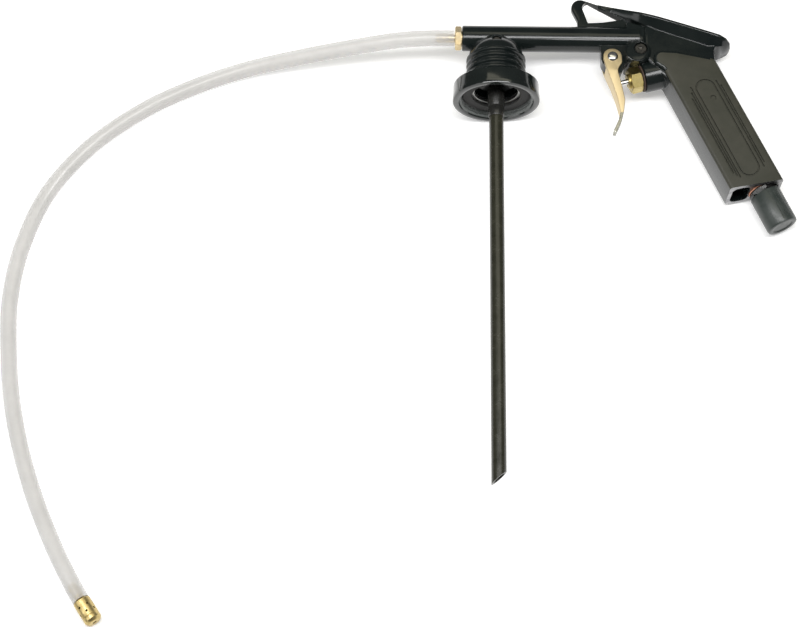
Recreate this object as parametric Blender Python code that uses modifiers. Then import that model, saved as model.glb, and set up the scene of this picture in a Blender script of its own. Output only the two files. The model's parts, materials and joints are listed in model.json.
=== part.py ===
"""Air-operated underbody spray gun with a can collar, a suction tube and a flexible probe.

The gun is drawn upright in its own frame: +X runs from the nozzle to the handle, +Z is up
and -Y is its left side. It is then laid down on its right side, as it lies on a bench, by
the empty that all its pieces are parented to. Sizes are in metres.
"""
import math

import bmesh
import bpy
from mathutils import Matrix, Vector

MM = 0.001
CLEARANCE = 0.3 * MM
ALONG_X = Vector((1.0, 0.0, 0.0))
ALONG_Y = Vector((0.0, 1.0, 0.0))
ALONG_Z = Vector((0.0, 0.0, 1.0))

# Barrel, along X through the frame's origin.
BARREL_RADIUS = 7.2 * MM
BARREL_FRONT = -18.9 * MM
BARREL_REAR = 80.0 * MM
BARREL_BORE_RADIUS = 4.5 * MM
BARREL_BORE_END = 86.0 * MM

# Neck and can collar, about Z.
NECK_RADIUS = 16.3 * MM
NECK_ROOT_RADIUS = 15.1 * MM
NECK_BOTTOM = -32.0 * MM
NECK_RIB_TOP = -14.0 * MM
NECK_RIB_PITCH = 3.6 * MM
NECK_RIBS = 4
COLLAR_RADIUS = 24.1 * MM
COLLAR_BORE_RADIUS = 20.4 * MM
COLLAR_THREAD_RADIUS = 19.6 * MM
COLLAR_BOTTOM_LIP = COLLAR_BORE_RADIUS + 0.3 * MM
COLLAR_TOP = -29.9 * MM
COLLAR_BOTTOM = -40.0 * MM
COLLAR_WEB = 2.0 * MM

# Suction tube, about Z.
TUBE_RADIUS = 4.0 * MM
TUBE_BORE_RADIUS = 2.9 * MM
TUBE_TOP = -13.0 * MM
TUBE_LONG_SIDE = -259.0 * MM
TUBE_SHORT_SIDE = -252.0 * MM
SLEEVE_RADIUS = 5.0 * MM
SLEEVE_BOTTOM = -49.0 * MM

# Grip: a slanted block. GRIP_FRONT is the top of its front edge.
GRIP_FRONT = Vector((93.9 * MM, 0.0, -26.7 * MM))
GRIP_SLANT = math.radians(24.3)
GRIP_DEPTH = 27.8 * MM
GRIP_LENGTH = 78.0 * MM
GRIP_BACK_TOP = 1.6 * MM  # the back's upper corner, down the grip
GRIP_SPARE = 8.0 * MM  # cut off square with the grip's end
GRIP_HALF_WIDTH = 11.0 * MM
GRIP_EDGE = 3.4 * MM
HEAD_HALF_WIDTH = 8.4 * MM
GUARD_HALF_WIDTH = 12.3 * MM
GUARD_CROWN = 0.07  # rise of the middle, as a share of the half width

DOWN_GRIP = Vector((math.sin(GRIP_SLANT), 0.0, -math.cos(GRIP_SLANT)))
INTO_GRIP = Vector((math.cos(GRIP_SLANT), 0.0, math.sin(GRIP_SLANT)))

# Valve axis, rising into the body. Places along it are measured from VALVE_ORIGIN,
# positive into the body.
VALVE_SLANT = math.radians(15.5)
VALVE_ORIGIN = Vector((91.5 * MM, 0.0, -21.1 * MM))
INTO_VALVE = Vector((math.cos(VALVE_SLANT), 0.0, math.sin(VALVE_SLANT)))
VALVE_BOSS_RADIUS = 8.4 * MM
VALVE_BOSS_FACE = -10.5 * MM
VALVE_BORE_RADIUS = 5.2 * MM
VALVE_BORE_END = 20.0 * MM
STEM_RADIUS = 1.5 * MM
STEM_TIP = -27.0 * MM
POPPET_RADIUS = 3.6 * MM
POPPET_FRONT = 7.6 * MM
POPPET_BACK = 9.6 * MM

# Air inlet axis: along the grip. Places along it are measured down from GRIP_FRONT.
INLET_OFFSET = 19.2 * MM
INLET_TOP = -4.0 * MM
INLET_BORE_RADIUS = 6.6 * MM
CAP_RADIUS = 8.5 * MM
CAP_TOP = 82.4 * MM
CAP_END = 103.4 * MM

# Screw plugs in the two cross drillings, on the left side.
FRONT_PLUG = Vector((0.0, 0.0, -6.2 * MM))
REAR_PLUG = Vector((79.8 * MM, 0.0, -10.2 * MM))
TO_LEFT = -ALONG_Y

# Trigger, on a pin along Y.
TRIGGER_PIVOT = Vector((64.5 * MM, 0.0, -13.7 * MM))
TRIGGER_HALF_WIDTH = 6.1 * MM
TRIGGER_SHEET = 1.2 * MM
TRIGGER_HEAD_RADIUS = 5.3 * MM
LUG_HALF_WIDTH = 4.0 * MM
PLUG_BOSS_HALF_WIDTH = 9.6 * MM
PIN_RADIUS = 2.0 * MM

# Probe hose, in the frame of the bench it lies on.
HOSE_RADIUS = 4.5 * MM
HOSE_STEP = 2.5 * 2.0 * HOSE_RADIUS
TIP_RADIUS = 4.7 * MM
TIP_LENGTH = 14.0 * MM

# The gun rests on its collar's side and on the right side of its grip. BENCH_X and
# BENCH_Y put the middle of its own box over the origin.
REST_CONTACT_X = (GRIP_FRONT + DOWN_GRIP * GRIP_LENGTH + INTO_GRIP * (GRIP_DEPTH - GRIP_EDGE)).x
REST_ROLL = (math.asin(COLLAR_RADIUS / math.hypot(REST_CONTACT_X, GRIP_HALF_WIDTH))
             - math.atan2(GRIP_HALF_WIDTH, REST_CONTACT_X))
BENCH_X = -68.29 * MM
BENCH_Y = 117.43 * MM

# The hose leaves the barrel's end level, comes down to the bench and curls round on it.
# The points are measured from the foot of the gun's own frame, in mm.
HOSE_ROUTE = (
    (-23.0, 0.0, 26.2), (-34.0, 0.0, 27.0), (-46.0, 0.0, 26.8), (-59.0, 0.0, 25.2),
    (-84.0, -0.5, 19.7), (-114.0, -1.8, 12.6), (-144.0, -5.4, 7.2), (-173.4, -14.0, 4.8),
    (-202.7, -28.2, 4.6), (-232.0, -50.2, 4.6), (-254.3, -78.3, 4.6), (-266.7, -111.2, 4.6),
    (-271.0, -143.2, 4.6), (-269.2, -173.0, 4.6), (-265.0, -201.8, 4.6), (-257.7, -229.9, 4.6),
    (-247.6, -257.5, 4.6), (-234.9, -284.7, 4.6), (-222.9, -306.0, 4.6), (-218.6, -312.6, 4.6),
)

PARTS = "underbody_spray_gun"
CUTTERS = "cutters"


# --------------------------------------------------------------------------- scene set-up
def clear_scene():
    for thing in list(bpy.data.objects):
        bpy.data.objects.remove(thing, do_unlink=True)
    for collection in list(bpy.data.collections):
        bpy.data.collections.remove(collection)


def new_collection(name):
    collection = bpy.data.collections.new(name)
    bpy.context.scene.collection.children.link(collection)
    return collection


def finish(name, colour, roughness, metallic):
    """Return a plain material for one sub-part."""
    material = bpy.data.materials.new(name)
    material.use_nodes = True
    shader = material.node_tree.nodes["Principled BSDF"]
    shader.inputs["Base Color"].default_value = (*colour, 1.0)
    shader.inputs["Roughness"].default_value = roughness
    shader.inputs["Metallic"].default_value = metallic
    return material


def axis_empty(name, parent, place, direction, side=ALONG_Y):
    """Return an empty at place whose +Z runs along direction and whose +Y is side."""
    empty = bpy.data.objects.new(name, None)
    empty.empty_display_size = 5 * MM
    bpy.data.collections[PARTS].objects.link(empty)
    empty.parent = parent
    empty.location = place
    empty.rotation_mode = "QUATERNION"
    across = side.cross(direction)
    empty.rotation_quaternion = Matrix((across, side, direction)).transposed().to_quaternion()
    return empty


def place_object(thing, parent, collection):
    bpy.data.collections[collection].objects.link(thing)
    thing.parent = parent
    if collection == CUTTERS:
        thing.hide_render = True
        thing.display_type = "WIRE"
    return thing


# --------------------------------------------------------------------------- shape helpers
def filleted(corners, arc_degrees=28.0):
    """Return the points of an outline whose corners (a, b, radius in mm) are rounded.

    A rounded corner gets one stretch for each arc_degrees that it turns.
    """
    points = []
    for index, (across, up, radius) in enumerate(corners):
        corner = Vector((across, up)) * MM
        if radius == 0:
            points.append(corner)
            continue
        to_last = (Vector(corners[index - 1][:2]) * MM - corner).normalized()
        to_next = (Vector(corners[(index + 1) % len(corners)][:2]) * MM - corner).normalized()
        half = to_last.angle(to_next) / 2
        centre = corner + (to_last + to_next).normalized() * radius * MM / math.sin(half)
        first = corner + to_last * radius * MM / math.tan(half) - centre
        last = corner + to_next * radius * MM / math.tan(half) - centre
        turned_by = 180.0 - math.degrees(2 * half)
        arc_steps = max(1, round(turned_by / arc_degrees))
        for step in range(arc_steps + 1):
            share = step / arc_steps
            points.append(centre + first.lerp(last, share).normalized() * radius * MM)
    return points


def turned(name, profile, parent, collection=PARTS, steps=32, ring=True):
    """Turn a profile of (radius, height) points, listed down its outer side, about Z.

    A ring's profile closes on itself up its bore; a solid's starts and ends on the axis.
    """
    mesh = bpy.data.meshes.new(name)
    last = len(profile) - 1
    edges = [(index, index + 1) for index in range(last)]
    if ring:
        edges.append((last, 0))
    mesh.from_pydata([(radius, 0.0, height) for radius, height in profile], edges, [])
    thing = place_object(bpy.data.objects.new(name, mesh), parent, collection)
    screw = thing.modifiers.new("turn", "SCREW")
    screw.axis = "Z"
    screw.steps = steps
    screw.render_steps = steps
    screw.use_merge_vertices = True
    screw.merge_threshold = 0.00001
    return thing


def rod_profile(radius, low, high):
    return [(0.0, high), (radius, high), (radius, low), (0.0, low)]


def ring_profile(outer, inner, low, high):
    return [(outer, high), (outer, low), (inner, low), (inner, high)]


def rod(name, radius, start, end, parent, collection=CUTTERS, steps=24):
    """Return a solid rod between two points of its parent's frame."""
    direction = Vector(end) - Vector(start)
    thing = turned(name, rod_profile(radius, 0.0, direction.length), parent, collection,
                   steps, ring=False)
    thing.location = start
    thing.rotation_mode = "QUATERNION"
    thing.rotation_quaternion = direction.to_track_quat("Z", "Y")
    return thing


def outline_solid(name, outlines, half_width, parent, collection=CUTTERS, bevel=0.0, segments=2):
    """Return a plate with the XZ outlines (the later ones are holes), half_width each side."""
    curve = bpy.data.curves.new(name, "CURVE")
    curve.dimensions = "2D"
    curve.fill_mode = "BOTH"
    curve.extrude = half_width
    for outline in outlines:
        spline = curve.splines.new("POLY")
        spline.points.add(len(outline) - 1)
        spline.use_cyclic_u = True
        for point, place in zip(spline.points, outline):
            point.co = (place[0], place[1], 0.0, 1.0)
    flat = bpy.data.objects.new(name + "_outline", curve)
    bpy.context.scene.collection.objects.link(flat)
    bpy.context.view_layer.update()
    mesh = bpy.data.meshes.new_from_object(flat.evaluated_get(bpy.context.evaluated_depsgraph_get()))
    bpy.data.objects.remove(flat, do_unlink=True)
    mesh.name = name
    edit = bmesh.new()
    edit.from_mesh(mesh)
    bmesh.ops.remove_doubles(edit, verts=edit.verts, dist=0.00001)
    bmesh.ops.dissolve_limit(edit, angle_limit=math.radians(0.5), verts=edit.verts, edges=edit.edges)
    bmesh.ops.transform(edit, matrix=Matrix.Rotation(math.pi / 2, 4, "X"), verts=edit.verts)
    bmesh.ops.recalc_face_normals(edit, faces=edit.faces)
    edit.to_mesh(mesh)
    edit.free()
    thing = place_object(bpy.data.objects.new(name, mesh), parent, collection)
    if bevel:
        round_edges(thing, bevel, segments)
    return thing


def lofted(name, sections, parent, collection=CUTTERS):
    """Return a closed skin through sections that have the same number of points."""
    edit = bmesh.new()
    rings = [[edit.verts.new(point) for point in section] for section in sections]
    for near, far in zip(rings, rings[1:]):
        for index in range(len(near)):
            after = (index + 1) % len(near)
            edit.faces.new((near[index], near[after], far[after], far[index]))
    edit.faces.new(rings[0])
    edit.faces.new(rings[-1])
    bmesh.ops.triangulate(edit, faces=edit.faces)
    bmesh.ops.recalc_face_normals(edit, faces=edit.faces)
    mesh = bpy.data.meshes.new(name)
    edit.to_mesh(mesh)
    edit.free()
    return place_object(bpy.data.objects.new(name, mesh), parent, collection)


def box(name, low, high, parent, collection=CUTTERS):
    """Return a box between two corners of its parent's frame."""
    edit = bmesh.new()
    bmesh.ops.create_cube(edit, size=1.0)
    size = Vector(high) - Vector(low)
    middle = (Vector(high) + Vector(low)) / 2
    bmesh.ops.scale(edit, vec=size, verts=edit.verts)
    bmesh.ops.translate(edit, vec=middle, verts=edit.verts)
    mesh = bpy.data.meshes.new(name)
    edit.to_mesh(mesh)
    edit.free()
    return place_object(bpy.data.objects.new(name, mesh), parent, collection)


def round_edges(thing, width, segments=2):
    bevel = thing.modifiers.new("round_edges", "BEVEL")
    bevel.width = width
    bevel.segments = segments
    bevel.limit_method = "ANGLE"
    bevel.angle_limit = math.radians(40)


def combine(thing, others, operation, solver="EXACT"):
    for other in others:
        boolean = thing.modifiers.new(other.name, "BOOLEAN")
        boolean.operation = operation
        boolean.solver = solver
        boolean.object = other


def dress(thing, material):
    """Give a sub-part its material and smooth round faces."""
    thing.data.materials.append(material)
    if thing.type == "MESH":
        thing.data.shade_smooth()
        thing.data.set_sharp_from_angle(angle=math.radians(35))
    return thing


# --------------------------------------------------------------------------- frames
def make_frames():
    """Return the empties that carry the gun and stand on its joint and bore axes."""
    rest = bpy.data.objects.new("gun_rest", None)
    rest.empty_display_size = 20 * MM
    bpy.data.collections[PARTS].objects.link(rest)
    rest.location = (BENCH_X, BENCH_Y, COLLAR_RADIUS)
    rest.rotation_euler = (-math.pi / 2, REST_ROLL, 0.0)
    inlet_start = GRIP_FRONT + INTO_GRIP * INLET_OFFSET
    return {
        "rest": rest,
        "barrel": axis_empty("barrel_axis", rest, Vector(), ALONG_X),
        "valve": axis_empty("valve_axis", rest, VALVE_ORIGIN, INTO_VALVE),
        "inlet": axis_empty("inlet_axis", rest, inlet_start, DOWN_GRIP),
        "neck": axis_empty("neck_axis", rest, Vector(), ALONG_Z),
        "trigger": axis_empty("trigger_axis", rest, TRIGGER_PIVOT, ALONG_Z),
    }


# --------------------------------------------------------------------------- gun body
def neck_solid(frames):
    """The bell under the barrel that carries the can, with its coarse ribs."""
    profile = [(0.0, 1.0 * MM), (6.5 * MM, 1.0 * MM), (9.4 * MM, -3.4 * MM),
               (12.2 * MM, -7.2 * MM), (14.6 * MM, -11.6 * MM)]
    for rib in range(NECK_RIBS):
        top = NECK_RIB_TOP - rib * NECK_RIB_PITCH
        profile += [(NECK_ROOT_RADIUS, top), (NECK_RADIUS, top - 0.28 * NECK_RIB_PITCH),
                    (NECK_RADIUS, top - 0.62 * NECK_RIB_PITCH)]
    last_rib = NECK_RIB_TOP - NECK_RIBS * NECK_RIB_PITCH
    profile += [(NECK_ROOT_RADIUS, last_rib), (NECK_ROOT_RADIUS, NECK_BOTTOM), (0.0, NECK_BOTTOM)]
    return turned("neck_bell", profile, frames["neck"], CUTTERS, steps=32, ring=False)


def hook_solid(frames):
    """The hanging hook: a loop between the barrel's top and the guard."""
    outer = filleted([(45.9, 3.0, 0), (45.7, 11.2, 3), (42.2, 18.8, 5), (44.2, 26.2, 5),
                      (57.5, 21.4, 0), (64.4, 19.1, 0), (70.0, 16.8, 0), (80.0, 11.0, 0), (82.0, 3.0, 0)])
    eye = filleted([(51.6, 9.3, 1.0), (48.6, 19.6, 2.0), (51.0, 23.2, 1.4), (58.0, 19.4, 0),
                    (70.6, 11.8, 0.6)])
    return outline_solid("hook", [outer, eye], 2.6 * MM, frames["rest"], bevel=0.8 * MM)


def guard_solid(frames):
    """The guard plate above the hand, from the hook's bar to the beak, as a loft."""
    stations = ((57.5, 21.5, 2.2, 1.6, 2.2), (64.4, 19.4, 3.2, 2.4, 3.2), (70.0, 17.2, 5.0, 3.4, 3.8),
                (75.0, 14.3, 8.4, 5.8, 4.2), (80.0, 11.7, 11.4, 7.9, 4.8), (84.0, 10.2, 12.3, 8.3, 5.6),
                (104.0, 4.1, 12.3, 8.3, 7.3), (117.4, -0.3, 12.3, 8.3, 7.6),
                (123.5, -2.3, 12.1, 8.1, 5.5), (127.2, -3.6, 10.4, 7.0, 3.2), (130.0, -4.6, 6.0, 4.0, 1.8))
    sections = []
    for along, top, half, inner, drop in stations:
        edge = top - min(1.3, drop * 0.6)
        crown = top + half * GUARD_CROWN
        section = ((-half, edge), (-half, top), (0.0, crown), (half, top), (half, edge),
                   (inner, top - drop), (-inner, top - drop))
        sections.append([Vector((along, across, up)) * MM for across, up in section])
    return lofted("guard", sections, frames["rest"])


def head_solids(frames):
    """The head between barrel and grip: its wide rear, its narrow front and its lug."""
    rear = filleted([(83.0, 6.5, 0), (123.0, -5.4, 0), (120.9, -10.0, 3), (121.2, -16.0, 3),
                     (123.4, -22.8, 0), (112.0, -34.0, 0), (95.5, -30.0, 0), (88.0, -22.0, 2),
                     (82.5, -15.4, 2), (82.0, -2.0, 0)])
    front = filleted([(72.5, 9.0, 0), (86.0, 5.0, 0), (88.0, -15.2, 0), (76.0, -15.2, 2),
                      (72.8, -10.0, 2)])
    lug = filleted([(58.4, -2.0, 0), (58.4, -19.3, 5.4), (66.4, -19.3, 1), (66.3, -23.0, 1),
                    (69.0, -22.8, 1), (71.5, -16.0, 2), (84.0, -15.6, 0), (86.0, -2.0, 0)])
    plug_boss = filleted([(72.3, -5.0, 5.1), (72.3, -15.4, 5.1), (85.6, -15.4, 5.1), (85.6, -5.0, 5.1)])
    return [
        outline_solid("head_rear", [rear], HEAD_HALF_WIDTH, frames["rest"], bevel=1.2 * MM),
        outline_solid("head_front", [front], 6.4 * MM, frames["rest"], bevel=1.0 * MM),
        outline_solid("trigger_lug", [lug], LUG_HALF_WIDTH, frames["rest"]),
        outline_solid("rear_plug_boss", [plug_boss], PLUG_BOSS_HALF_WIDTH, frames["rest"], bevel=1.0 * MM),
    ]


def grip_solid(frames):
    """The slanted grip with rounded edges, longer than it ends up."""
    bottom_front = (GRIP_FRONT + DOWN_GRIP * (GRIP_LENGTH + GRIP_SPARE)) / MM
    bottom_back = bottom_front + INTO_GRIP * GRIP_DEPTH / MM
    top_back = bottom_back - DOWN_GRIP * (GRIP_LENGTH + GRIP_SPARE - GRIP_BACK_TOP) / MM
    outline = filleted([
        (86.2, -11.6, 4.5), (87.0, -19.8, 4.2), (92.2, -23.6, 3), (bottom_front.x, bottom_front.z, 0),
        (bottom_back.x, bottom_back.z, 0), (top_back.x, top_back.z, 4.5), (99.3, -12.2, 0)])
    return outline_solid("grip", [outline], GRIP_HALF_WIDTH, frames["rest"], bevel=GRIP_EDGE,
                         segments=3)


def body_bores(frames):
    """The cutters for every bore, pocket and passage in the casting."""
    rest, barrel, valve, inlet = (frames[key] for key in ("rest", "barrel", "valve", "inlet"))
    port = VALVE_ORIGIN + INTO_VALVE * 0.8 * MM
    port_top = port - DOWN_GRIP * (abs(port.z) / math.cos(GRIP_SLANT))
    over = 1.0 * MM
    riser = REAR_PLUG + TO_LEFT * 1.6 * MM
    neck_profile = [(0.0, -2.0 * MM), (2.0 * MM, -2.0 * MM), (2.0 * MM, -12.0 * MM),
                    (TUBE_RADIUS + CLEARANCE, -12.0 * MM), (TUBE_RADIUS + CLEARANCE, -18.0 * MM),
                    (SLEEVE_RADIUS + CLEARANCE, -18.0 * MM),
                    (SLEEVE_RADIUS + CLEARANCE, -22.0 * MM), (9.0 * MM, -24.0 * MM),
                    (12.0 * MM, -27.0 * MM), (12.0 * MM, NECK_BOTTOM - over),
                    (0.0, NECK_BOTTOM - over)]
    pocket = box("grip_pocket", (8.3 * MM, -7.6 * MM, 54 * MM), (16.2 * MM, 7.6 * MM, GRIP_LENGTH + over),
                 inlet)
    round_edges(pocket, 1.8 * MM)
    return [
        rod("barrel_bore", BARREL_BORE_RADIUS, (0, 0, BARREL_FRONT - over),
            (0, 0, BARREL_BORE_END), barrel, steps=20),
        turned("neck_bore", neck_profile, frames["neck"], CUTTERS, steps=20, ring=False),
        rod("front_plug_bore", 2.6 * MM, FRONT_PLUG + TO_LEFT * 14 * MM, FRONT_PLUG + TO_LEFT * 1.2 * MM,
            rest, steps=18),
        rod("rear_plug_bore", 3.6 * MM, REAR_PLUG + TO_LEFT * 12 * MM, REAR_PLUG + TO_LEFT * 0.6 * MM,
            rest, steps=20),
        rod("rear_plug_riser", 1.4 * MM, riser, Vector((riser.x, riser.y, -1.5 * MM)), rest, steps=10),
        rod("valve_bore", VALVE_BORE_RADIUS, (0, 0, VALVE_BOSS_FACE - over),
            (0, 0, VALVE_BORE_END), valve, steps=20),
        rod("air_port", 2.0 * MM, port, port_top, rest, steps=12),
        rod("air_passage", 2.6 * MM, (0, 0, INLET_TOP), (0, 0, 66 * MM), inlet, steps=12),
        rod("inlet_bore", INLET_BORE_RADIUS, (0, 0, 64 * MM), (0, 0, GRIP_LENGTH + over),
            inlet, steps=24),
        pocket,
        box("grip_end_cut", (-40 * MM, -40 * MM, GRIP_LENGTH), (40 * MM, 40 * MM, GRIP_LENGTH + 40 * MM),
            inlet),
        rod("pin_bore", PIN_RADIUS + CLEARANCE, TRIGGER_PIVOT + TO_LEFT * 9 * MM,
            TRIGGER_PIVOT - TO_LEFT * 9 * MM, rest, steps=16),
        box("head_relief_left", (57.3 * MM, -9 * MM, -24 * MM), (71.8 * MM, -LUG_HALF_WIDTH, -5.4 * MM),
            rest),
        box("head_relief_right", (57.3 * MM, LUG_HALF_WIDTH, -24 * MM), (71.8 * MM, 9 * MM, -5.4 * MM),
            rest),
    ]


def make_gun_body(frames):
    """The one-piece casting: barrel, neck, hook, guard, head and grip."""
    rest = frames["rest"]
    body = rod("gun_body", BARREL_RADIUS, (0, 0, BARREL_FRONT), (0, 0, BARREL_REAR),
               frames["barrel"], PARTS, steps=32)
    adds = [
        neck_solid(frames),
        hook_solid(frames),
        guard_solid(frames),
        *head_solids(frames),
        grip_solid(frames),
        rod("valve_boss", VALVE_BOSS_RADIUS, (0, 0, VALVE_BOSS_FACE), (0, 0, 8 * MM),
            frames["valve"], steps=28),
        rod("front_plug_boss", 4.1 * MM, FRONT_PLUG + TO_LEFT * 11.6 * MM, FRONT_PLUG, rest),
    ]
    combine(body, adds, "UNION", "MANIFOLD")
    combine(body, body_bores(frames), "DIFFERENCE", "MANIFOLD")
    return dress(body, finish("black_paint", (0.017, 0.019, 0.019), 0.3, 0.0))


# --------------------------------------------------------------------------- can joint
def make_can_joint(frames):
    """Collar, seat flange and gasket that hold a can under the neck."""
    neck = frames["neck"]
    profile = [(NECK_ROOT_RADIUS + 0.5 * MM, COLLAR_TOP), (COLLAR_RADIUS - 1.2 * MM, COLLAR_TOP),
               (COLLAR_RADIUS, COLLAR_TOP - 1.0 * MM), (COLLAR_RADIUS, COLLAR_BOTTOM + 0.6 * MM),
               (COLLAR_RADIUS - 0.6 * MM, COLLAR_BOTTOM), (COLLAR_BOTTOM_LIP, COLLAR_BOTTOM)]
    pitch = 1.8 * MM
    for thread in range(3):
        low = COLLAR_BOTTOM + 0.6 * MM + thread * pitch
        profile += [(COLLAR_BORE_RADIUS, low), (COLLAR_THREAD_RADIUS, low + 0.5 * pitch)]
    profile += [(COLLAR_BORE_RADIUS, COLLAR_BOTTOM + 0.6 * MM + 3 * pitch),
                (COLLAR_BORE_RADIUS, COLLAR_TOP - COLLAR_WEB),
                (NECK_ROOT_RADIUS + 0.5 * MM, COLLAR_TOP - COLLAR_WEB)]
    collar = turned("can_collar", profile, neck, steps=40)
    dress(collar, finish("black_gloss", (0.02, 0.022, 0.022), 0.2, 0.0))
    flange = turned("siphon_flange", ring_profile(19.0 * MM, 12.0 * MM, -34.2 * MM, -32.3 * MM),
                    neck, steps=32)
    dress(flange, finish("zinc_plate", (0.5, 0.5, 0.48), 0.35, 1.0))
    gasket = turned("can_gasket", ring_profile(18.6 * MM, 13.4 * MM, -36.0 * MM, -34.5 * MM),
                    neck, steps=32)
    dress(gasket, finish("black_rubber", (0.03, 0.03, 0.03), 0.8, 0.0))


def make_suction(frames):
    """Suction tube with its oblique cut end, and the sleeve that grips it."""
    neck = frames["neck"]
    tube = turned("suction_tube", ring_profile(TUBE_RADIUS, TUBE_BORE_RADIUS,
                                               TUBE_LONG_SIDE - 6 * MM, TUBE_TOP), neck, steps=20)
    slope = math.atan2(TUBE_SHORT_SIDE - TUBE_LONG_SIDE, 2 * TUBE_RADIUS)
    block = box("tube_end_cut", (-15 * MM, -10 * MM, -20 * MM), (15 * MM, 10 * MM, 0), neck)
    block.location = (0.0, 0.0, (TUBE_LONG_SIDE + TUBE_SHORT_SIDE) / 2)
    block.rotation_euler = (0.0, -slope, 0.0)
    combine(tube, [block], "DIFFERENCE")
    dress(tube, finish("olive_nylon", (0.03, 0.032, 0.02), 0.45, 0.0))
    bore = TUBE_RADIUS + CLEARANCE
    sleeve = turned("tube_sleeve", [(SLEEVE_RADIUS, -18.5 * MM), (SLEEVE_RADIUS, SLEEVE_BOTTOM + 1 * MM),
                                    (SLEEVE_RADIUS - 0.4 * MM, SLEEVE_BOTTOM), (bore, SLEEVE_BOTTOM),
                                    (bore, -18.5 * MM)], neck, steps=20)
    dress(sleeve, finish("black_nylon", (0.02, 0.02, 0.02), 0.4, 0.0))


# --------------------------------------------------------------------------- air jet and probe
def make_air_jet(frames):
    """The brass jet inside the barrel and the O-ring round it."""
    jet = turned("air_jet", [
        (1.6 * MM, 56 * MM), (4.1 * MM, 56 * MM), (4.1 * MM, 41.6 * MM), (3.2 * MM, 41.6 * MM),
        (3.2 * MM, 38.6 * MM), (4.1 * MM, 38.6 * MM), (4.1 * MM, 20 * MM), (2.0 * MM, 6 * MM),
        (0.9 * MM, 6 * MM), (1.6 * MM, 14 * MM)], frames["barrel"], steps=18)
    dress(jet, finish("jet_brass", (0.65, 0.47, 0.2), 0.3, 1.0))
    ring = turned("jet_o_ring", ring_profile(4.2 * MM, 3.5 * MM, 39.0 * MM, 41.2 * MM),
                  frames["barrel"], steps=18)
    dress(ring, finish("nitrile", (0.02, 0.02, 0.02), 0.7, 0.0))


def hexagon(across_flats):
    corner = across_flats / math.sqrt(3.0)
    return [Vector((corner * math.cos(math.radians(60 * side + 30)),
                    corner * math.sin(math.radians(60 * side + 30)))) for side in range(6)]


def hex_block(name, across_flats, low, high, parent):
    """Return a hexagonal prism along its parent's Z."""
    corners = hexagon(across_flats)
    sections = [[Vector((corner.x, corner.y, height)) for corner in corners] for height in (low, high)]
    thing = lofted(name, sections, parent)
    round_edges(thing, 0.3 * MM, 1)
    return thing


def make_hose_connector(frames):
    """The brass connector in the barrel's end, and its O-ring."""
    barrel = frames["barrel"]
    face = BARREL_FRONT - CLEARANCE
    connector = turned("hose_connector", [
        (0.0, -8.5 * MM), (4.1 * MM, -8.5 * MM), (4.1 * MM, -12.0 * MM), (3.2 * MM, -12.0 * MM),
        (3.2 * MM, -15.0 * MM), (4.1 * MM, -15.0 * MM), (4.1 * MM, face - 1.0 * MM),
        (0.0, face - 1.0 * MM)], barrel, steps=20, ring=False)
    flange = hex_block("connector_hex", 12.6 * MM, -22.8 * MM, face, barrel)
    bore = rod("connector_bore", 1.6 * MM, (0, 0, -24 * MM), (0, 0, -8 * MM), barrel, steps=16)
    combine(connector, [flange], "UNION")
    combine(connector, [bore], "DIFFERENCE")
    dress(connector, finish("connector_brass", (0.75, 0.58, 0.3), 0.28, 1.0))
    ring = turned("connector_o_ring", ring_profile(4.2 * MM, 3.5 * MM, -14.6 * MM, -12.4 * MM),
                  barrel, steps=18)
    dress(ring, finish("nitrile_front", (0.02, 0.02, 0.02), 0.7, 0.0))


def smooth_route(points, step):
    """Return points about step apart on a smooth curve through the given ones."""
    padded = [2 * points[0] - points[1], *points, 2 * points[-1] - points[-2]]
    route = [points[0]]
    for index in range(1, len(padded) - 2):
        before, start, end, after = padded[index - 1:index + 3]
        pieces = max(1, round((end - start).length / step))
        for piece in range(1, pieces + 1):
            share = piece / pieces
            route.append(0.5 * (2 * start + (end - before) * share
                                + (2 * before - 5 * start + 4 * end - after) * share ** 2
                                + (3 * start - before - 3 * end + after) * share ** 3))
    return route


def make_probe():
    """The flexible probe hose, lying on the bench, and its brass spray tip."""
    route = [Vector((x * MM + BENCH_X, y * MM + BENCH_Y, z * MM)) for x, y, z in HOSE_ROUTE]
    path = smooth_route(route, HOSE_STEP)
    curve = bpy.data.curves.new("probe_hose", "CURVE")
    curve.dimensions = "3D"
    curve.bevel_depth = HOSE_RADIUS
    curve.bevel_resolution = 2
    curve.use_fill_caps = True
    spline = curve.splines.new("POLY")
    spline.points.add(len(path) - 1)
    for point, place in zip(spline.points, path):
        point.co = (*place, 1.0)
    hose = place_object(bpy.data.objects.new("probe_hose", curve), None, PARTS)
    dress(hose, finish("clear_nylon", (0.6, 0.6, 0.57), 0.35, 0.0))
    along = path[-1] - path[-2]
    along.z = 0.0
    along.normalize()
    start = path[-1] + along * CLEARANCE
    start.z = TIP_RADIUS
    tip_axis = axis_empty("tip_axis", None, start, along, side=ALONG_Z)
    tip = turned("spray_tip", [
        (0.0, TIP_LENGTH), (3.6 * MM, TIP_LENGTH), (TIP_RADIUS, TIP_LENGTH - 1.3 * MM),
        (TIP_RADIUS, 0.4 * MM), (TIP_RADIUS - 0.4 * MM, 0.0), (2.2 * MM, 0.0),
        (2.2 * MM, TIP_LENGTH - 4 * MM), (0.0, TIP_LENGTH - 4 * MM)], tip_axis, steps=20, ring=False)
    drills = []
    for hole in range(3):
        turn = math.radians(60 * hole)
        reach = Vector((math.cos(turn), math.sin(turn), 0.0)) * 8 * MM
        middle = Vector((0.0, 0.0, 7.4 * MM))
        drills.append(rod(f"spray_hole_{hole}", 0.7 * MM, middle - reach, middle + reach, tip_axis,
                          steps=8))
    combine(tip, drills, "DIFFERENCE")
    dress(tip, finish("tip_brass", (0.72, 0.5, 0.22), 0.3, 1.0))


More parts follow.
